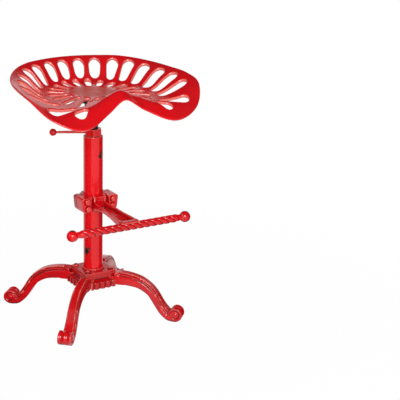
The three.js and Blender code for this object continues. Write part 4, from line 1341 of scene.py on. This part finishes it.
def build_bar_balls(sizes):
    size, neck = sizes.ball_radius / MM, 7.8
    outline = ball_outline(size, 8.6, 34)
    start, depth = outline[0][1], GAP - size * 0.55
    profile = [(0, depth), (neck, depth), (neck, start + 0.8), (8.1, start + 0.2), *outline]
    points, faces = turned_skin(profile, 64)
    for name, side in (("left", 1), ("right", -1)):
        skin = laid(points, "x") * [side, 1, 1] + [side * BALL_PLACE, -BAR_REACH, BAR_HEIGHT], faces
        make_piece(f"bar_end_{name}", skin, "footrest", f"bar_ball_{name}", footrest_enamel(), 60)


# Stage

CAMERA_PLACE = (-1361.25, -2579.6, 1239.765)
CAMERA_AZIMUTH, CAMERA_ELEVATION, CAMERA_ROLL = -33.0663, 17.8044, 0.028884
CAMERA_LENS = 110.09
PAPER_WAY, PANEL_WAY = (0.225, 0.974, 0.0), (-0.05, -0.999, 0.0)
WHITE = (1.0, 1.0, 1.0, 1.0)


def build_camera(scene):
    a, e = math.radians(CAMERA_AZIMUTH), math.radians(CAMERA_ELEVATION)
    back = Vector((math.sin(a) * math.cos(e), -math.cos(a) * math.cos(e), math.sin(e)))
    right = Vector((math.cos(a), math.sin(a), 0.0))
    turn = Matrix((right, back.cross(right), back)).transposed().to_4x4()
    place = Vector((np.array(CAMERA_PLACE) + AXIS) * MM)
    data = bpy.data.cameras.new("camera")
    data.lens = CAMERA_LENS
    data.clip_end = 60.0
    camera = bpy.data.objects.new("camera", data)
    camera.matrix_world = Matrix.Translation(place) @ turn @ Matrix.Rotation(CAMERA_ROLL, 4, "Z")
    scene.collection.objects.link(camera)
    scene.camera = camera


def shown_white(tree):
    """One where a camera, glossy or transmitted ray looks, nought where light is gathered."""
    path = put(tree, "LightPath").outputs
    seen = greatest(tree, path["Is Camera Ray"], path["Is Glossy Ray"])
    return greatest(tree, seen, path["Is Transmission Ray"])


def room_shine(tree, place, look):
    """What a glossy face shows of the room: white paper behind, a tall panel in front, dim between them."""
    way = vector(tree, "NORMALIZE", vector(tree, "MULTIPLY", place, (1.0, 1.0, 0.0)))
    paper, panel = (vector(tree, "DOT_PRODUCT", way, toward) for toward in (PAPER_WAY, PANEL_WAY))
    paper = ramp(tree, paper, 0.5, 0.72, look.dim, 1.0)
    return greatest(tree, paper, ramp(tree, panel, 0.6, 0.72, look.dim, look.panel))


def shown_strength(tree, shine):
    """Full strength, but the room's own shine for a glossy ray."""
    return blend(tree, put(tree, "LightPath").outputs["Is Glossy Ray"], 1.0, shine)


def build_world(scene, look):
    world = bpy.data.worlds.new("white_room")
    world.use_nodes = True
    tree = world.node_tree
    place = put(tree, "TexCoord").outputs["Generated"]
    height = put(tree, "SeparateXYZ", {0: place}).outputs[2]
    shine = blend(tree, ramp(tree, height, 0.29, 0.44), room_shine(tree, place, look), look.dim)
    gathered = ramp(tree, height, 0.0, 1.0, look.surround, look.ceiling)
    strength = blend(tree, shown_white(tree), gathered, shown_strength(tree, shine))
    feed(tree, tree.nodes["Background"], {"Color": WHITE, "Strength": strength})
    scene.world = world


def pale_floor(look):
    """A pale floor that the camera sees as white, with a trace of the stool's shadow near it."""
    made, tree, shader = start_material("pale_floor")
    if tree is None:
        return made
    place = object_place(tree)
    cloud = ramp(tree, noise(tree, place, 3.0), 0.3, 0.7)
    feed(tree, shader, {
        "Base Color": dye(tree, cloud, rgba(look.floor), darker(look.floor, 0.985)),
        "Roughness": 0.9,
        "Specular IOR Level": 0.1,
    })
    shine = shown_strength(tree, room_shine(tree, place, look))
    glow = put(tree, "Emission", {"Color": WHITE, "Strength": shine})
    far = ramp(tree, vector(tree, "LENGTH", place), 0.3, 1.3, 0.98, 1.0)
    kept = greatest(tree, put(tree, "LightPath").outputs["Is Glossy Ray"], far)
    part = times(tree, shown_white(tree), kept)
    mix = put(tree, "MixShader", {0: part, 1: shader.outputs[0], 2: glow.outputs[0]})
    tree.links.new(mix.outputs[0], tree.nodes["Material Output"].inputs["Surface"])
    return made


def build_floor(scene, look):
    mesh = bpy.data.meshes.new("floor")
    shell = bmesh.new()
    bmesh.ops.create_grid(shell, x_segments=8, y_segments=8, size=20.0)
    shell.to_mesh(mesh)
    shell.free()
    mesh.materials.append(pale_floor(look))
    floor = bpy.data.objects.new("floor", mesh)
    scene.collection.objects.link(floor)


def soft_light(scene, name, place, aim, size, watts):
    data = bpy.data.lights.new(name, "AREA")
    data.shape, data.size, data.energy = "DISK", size, watts
    light = bpy.data.objects.new(name, data)
    light.location = place
    light.rotation_euler = (Vector(place) - Vector(aim)).to_track_quat("Z", "Y").to_euler()
    scene.collection.objects.link(light)


def build_stage(scene, look):
    for name in ("camera", "floor", "key", "fill"):
        if bpy.data.objects.get(name) is not None:
            bpy.data.objects.remove(bpy.data.objects[name])
    build_camera(scene)
    build_world(scene, look)
    build_floor(scene, look)
    aim = (0.0, 0.0, 0.35)
    soft_light(scene, "key", (-1.1, -2.6, 1.5), aim, 1.6, look.key)
    soft_light(scene, "fill", (-2.6, -0.4, 1.3), aim, 1.8, look.fill)
    scene.view_settings.view_transform = "Standard"


# Operators and panel


class BuildStep:
    bl_options = {"REGISTER", "UNDO"}


class STOOL_OT_seat(BuildStep, bpy.types.Operator):
    """Build the slotted cast seat"""

    bl_idname = "stool.seat"
    bl_label = "Cast Seat"

    def execute(self, context):
        build_seat(context.scene.stool_seat)
        return {"FINISHED"}


class STOOL_OT_seat_mount(BuildStep, bpy.types.Operator):
    """Build the black flange under the seat"""

    bl_idname = "stool.seat_mount"
    bl_label = "Seat Mount"

    def execute(self, context):
        build_seat_mount()
        return {"FINISHED"}


class STOOL_OT_seat_screws(BuildStep, bpy.types.Operator):
    """Build the screws under the seat"""

    bl_idname = "stool.seat_screws"
    bl_label = "Seat Screws"

    def execute(self, context):
        build_seat_screws()
        return {"FINISHED"}


class STOOL_OT_column(BuildStep, bpy.types.Operator):
    """Build the tube and dress its bush and stop"""

    bl_idname = "stool.column"
    bl_label = "Column"

    def execute(self, context):
        build_column()
        return {"FINISHED"}


class STOOL_OT_weld(BuildStep, bpy.types.Operator):
    """Build the bead round the foot of the tube"""

    bl_idname = "stool.weld"
    bl_label = "Weld Bead"

    def execute(self, context):
        build_weld()
        return {"FINISHED"}


class STOOL_OT_plate(BuildStep, bpy.types.Operator):
    """Build the square plate under the tube"""

    bl_idname = "stool.plate"
    bl_label = "Plate"

    def execute(self, context):
        build_plate()
        return {"FINISHED"}


class STOOL_OT_plate_bolts(BuildStep, bpy.types.Operator):
    """Build the plate's domed bolts"""

    bl_idname = "stool.plate_bolts"
    bl_label = "Plate Bolts"

    def execute(self, context):
        build_plate_bolts()
        return {"FINISHED"}


class STOOL_OT_screw(BuildStep, bpy.types.Operator):
    """Build the threaded screw"""

    bl_idname = "stool.screw"
    bl_label = "Lift Screw"

    def execute(self, context):
        build_screw()
        return {"FINISHED"}


class STOOL_OT_lock(BuildStep, bpy.types.Operator):
    """Build the lock nut, its lever and ball"""

    bl_idname = "stool.lock"
    bl_label = "Lock Nut and Lever"

    def execute(self, context):
        build_lock_nut()
        build_lever()
        build_lever_ball()
        return {"FINISHED"}


class STOOL_OT_legs(BuildStep, bpy.types.Operator):
    """Build the four legs with scroll feet"""

    bl_idname = "stool.legs"
    bl_label = "Scroll Legs"

    def execute(self, context):
        build_legs(context.scene.stool_base)
        return {"FINISHED"}


class STOOL_OT_hub(BuildStep, bpy.types.Operator):
    """Build the pleated casting that joins the legs"""

    bl_idname = "stool.hub"
    bl_label = "Base Casting"

    def execute(self, context):
        build_hub(context.scene.stool_base)
        return {"FINISHED"}


class STOOL_OT_bracket(BuildStep, bpy.types.Operator):
    """Build the clamp's front half with its ribbed arm"""

    bl_idname = "stool.bracket"
    bl_label = "Footrest Bracket"

    def execute(self, context):
        build_bracket()
        return {"FINISHED"}


class STOOL_OT_clamp_back(BuildStep, bpy.types.Operator):
    """Build the clamp's rear half"""

    bl_idname = "stool.clamp_back"
    bl_label = "Clamp Rear Half"

    def execute(self, context):
        build_clamp_back()
        return {"FINISHED"}


class STOOL_OT_clamp_bolts(BuildStep, bpy.types.Operator):
    """Build the clamp's screws and nuts"""

    bl_idname = "stool.clamp_bolts"
    bl_label = "Clamp Bolts"

    def execute(self, context):
        build_clamp_bolts()
        return {"FINISHED"}


class STOOL_OT_bar(BuildStep, bpy.types.Operator):
    """Build the twisted footrest bar and its end balls"""

    bl_idname = "stool.bar"
    bl_label = "Twisted Bar"

    def execute(self, context):
        build_bar(context.scene.stool_footrest)
        build_bar_balls(context.scene.stool_footrest)
        return {"FINISHED"}


class STOOL_OT_stage(BuildStep, bpy.types.Operator):
    """Build the floor, room, lights and camera"""

    bl_idname = "stool.stage"
    bl_label = "Stage"

    def execute(self, context):
        build_stage(context.scene, context.scene.stool_stage)
        return {"FINISHED"}


OPERATORS = [
    STOOL_OT_seat, STOOL_OT_seat_mount, STOOL_OT_seat_screws, STOOL_OT_column, STOOL_OT_weld, STOOL_OT_plate,
    STOOL_OT_plate_bolts, STOOL_OT_screw, STOOL_OT_lock, STOOL_OT_legs, STOOL_OT_hub, STOOL_OT_bracket,
    STOOL_OT_clamp_back, STOOL_OT_clamp_bolts, STOOL_OT_bar, STOOL_OT_stage,
]


class STOOL_PT_build(bpy.types.Panel):
    """Sizes, finishes and building steps of the stool"""

    bl_idname = "STOOL_PT_build"
    bl_label = "Tractor Seat Stool"
    bl_space_type = "VIEW_3D"
    bl_region_type = "UI"
    bl_category = "Stool"

    def draw(self, context):
        layout = self.layout
        for key, group in SETTINGS.items():
            box = layout.box()
            box.label(text=key.removeprefix("stool_").title())
            for field in group.__annotations__:
                box.prop(getattr(context.scene, key), field)
        for made in OPERATORS:
            layout.operator(made.bl_idname)


def register():
    for key, group in SETTINGS.items():
        bpy.utils.register_class(group)
        setattr(bpy.types.Scene, key, bpy.props.PointerProperty(type=group))
    for made in [*OPERATORS, STOOL_PT_build]:
        bpy.utils.register_class(made)


def unregister():
    for made in reversed([*OPERATORS, STOOL_PT_build]):
        bpy.utils.unregister_class(made)
    for key, group in reversed(SETTINGS.items()):
        delattr(bpy.types.Scene, key)
        bpy.utils.unregister_class(group)


def main():
    register()
    for made in OPERATORS:
        getattr(bpy.ops.stool, made.bl_idname.split(".")[1])()


if __name__ == "__main__":
    main()
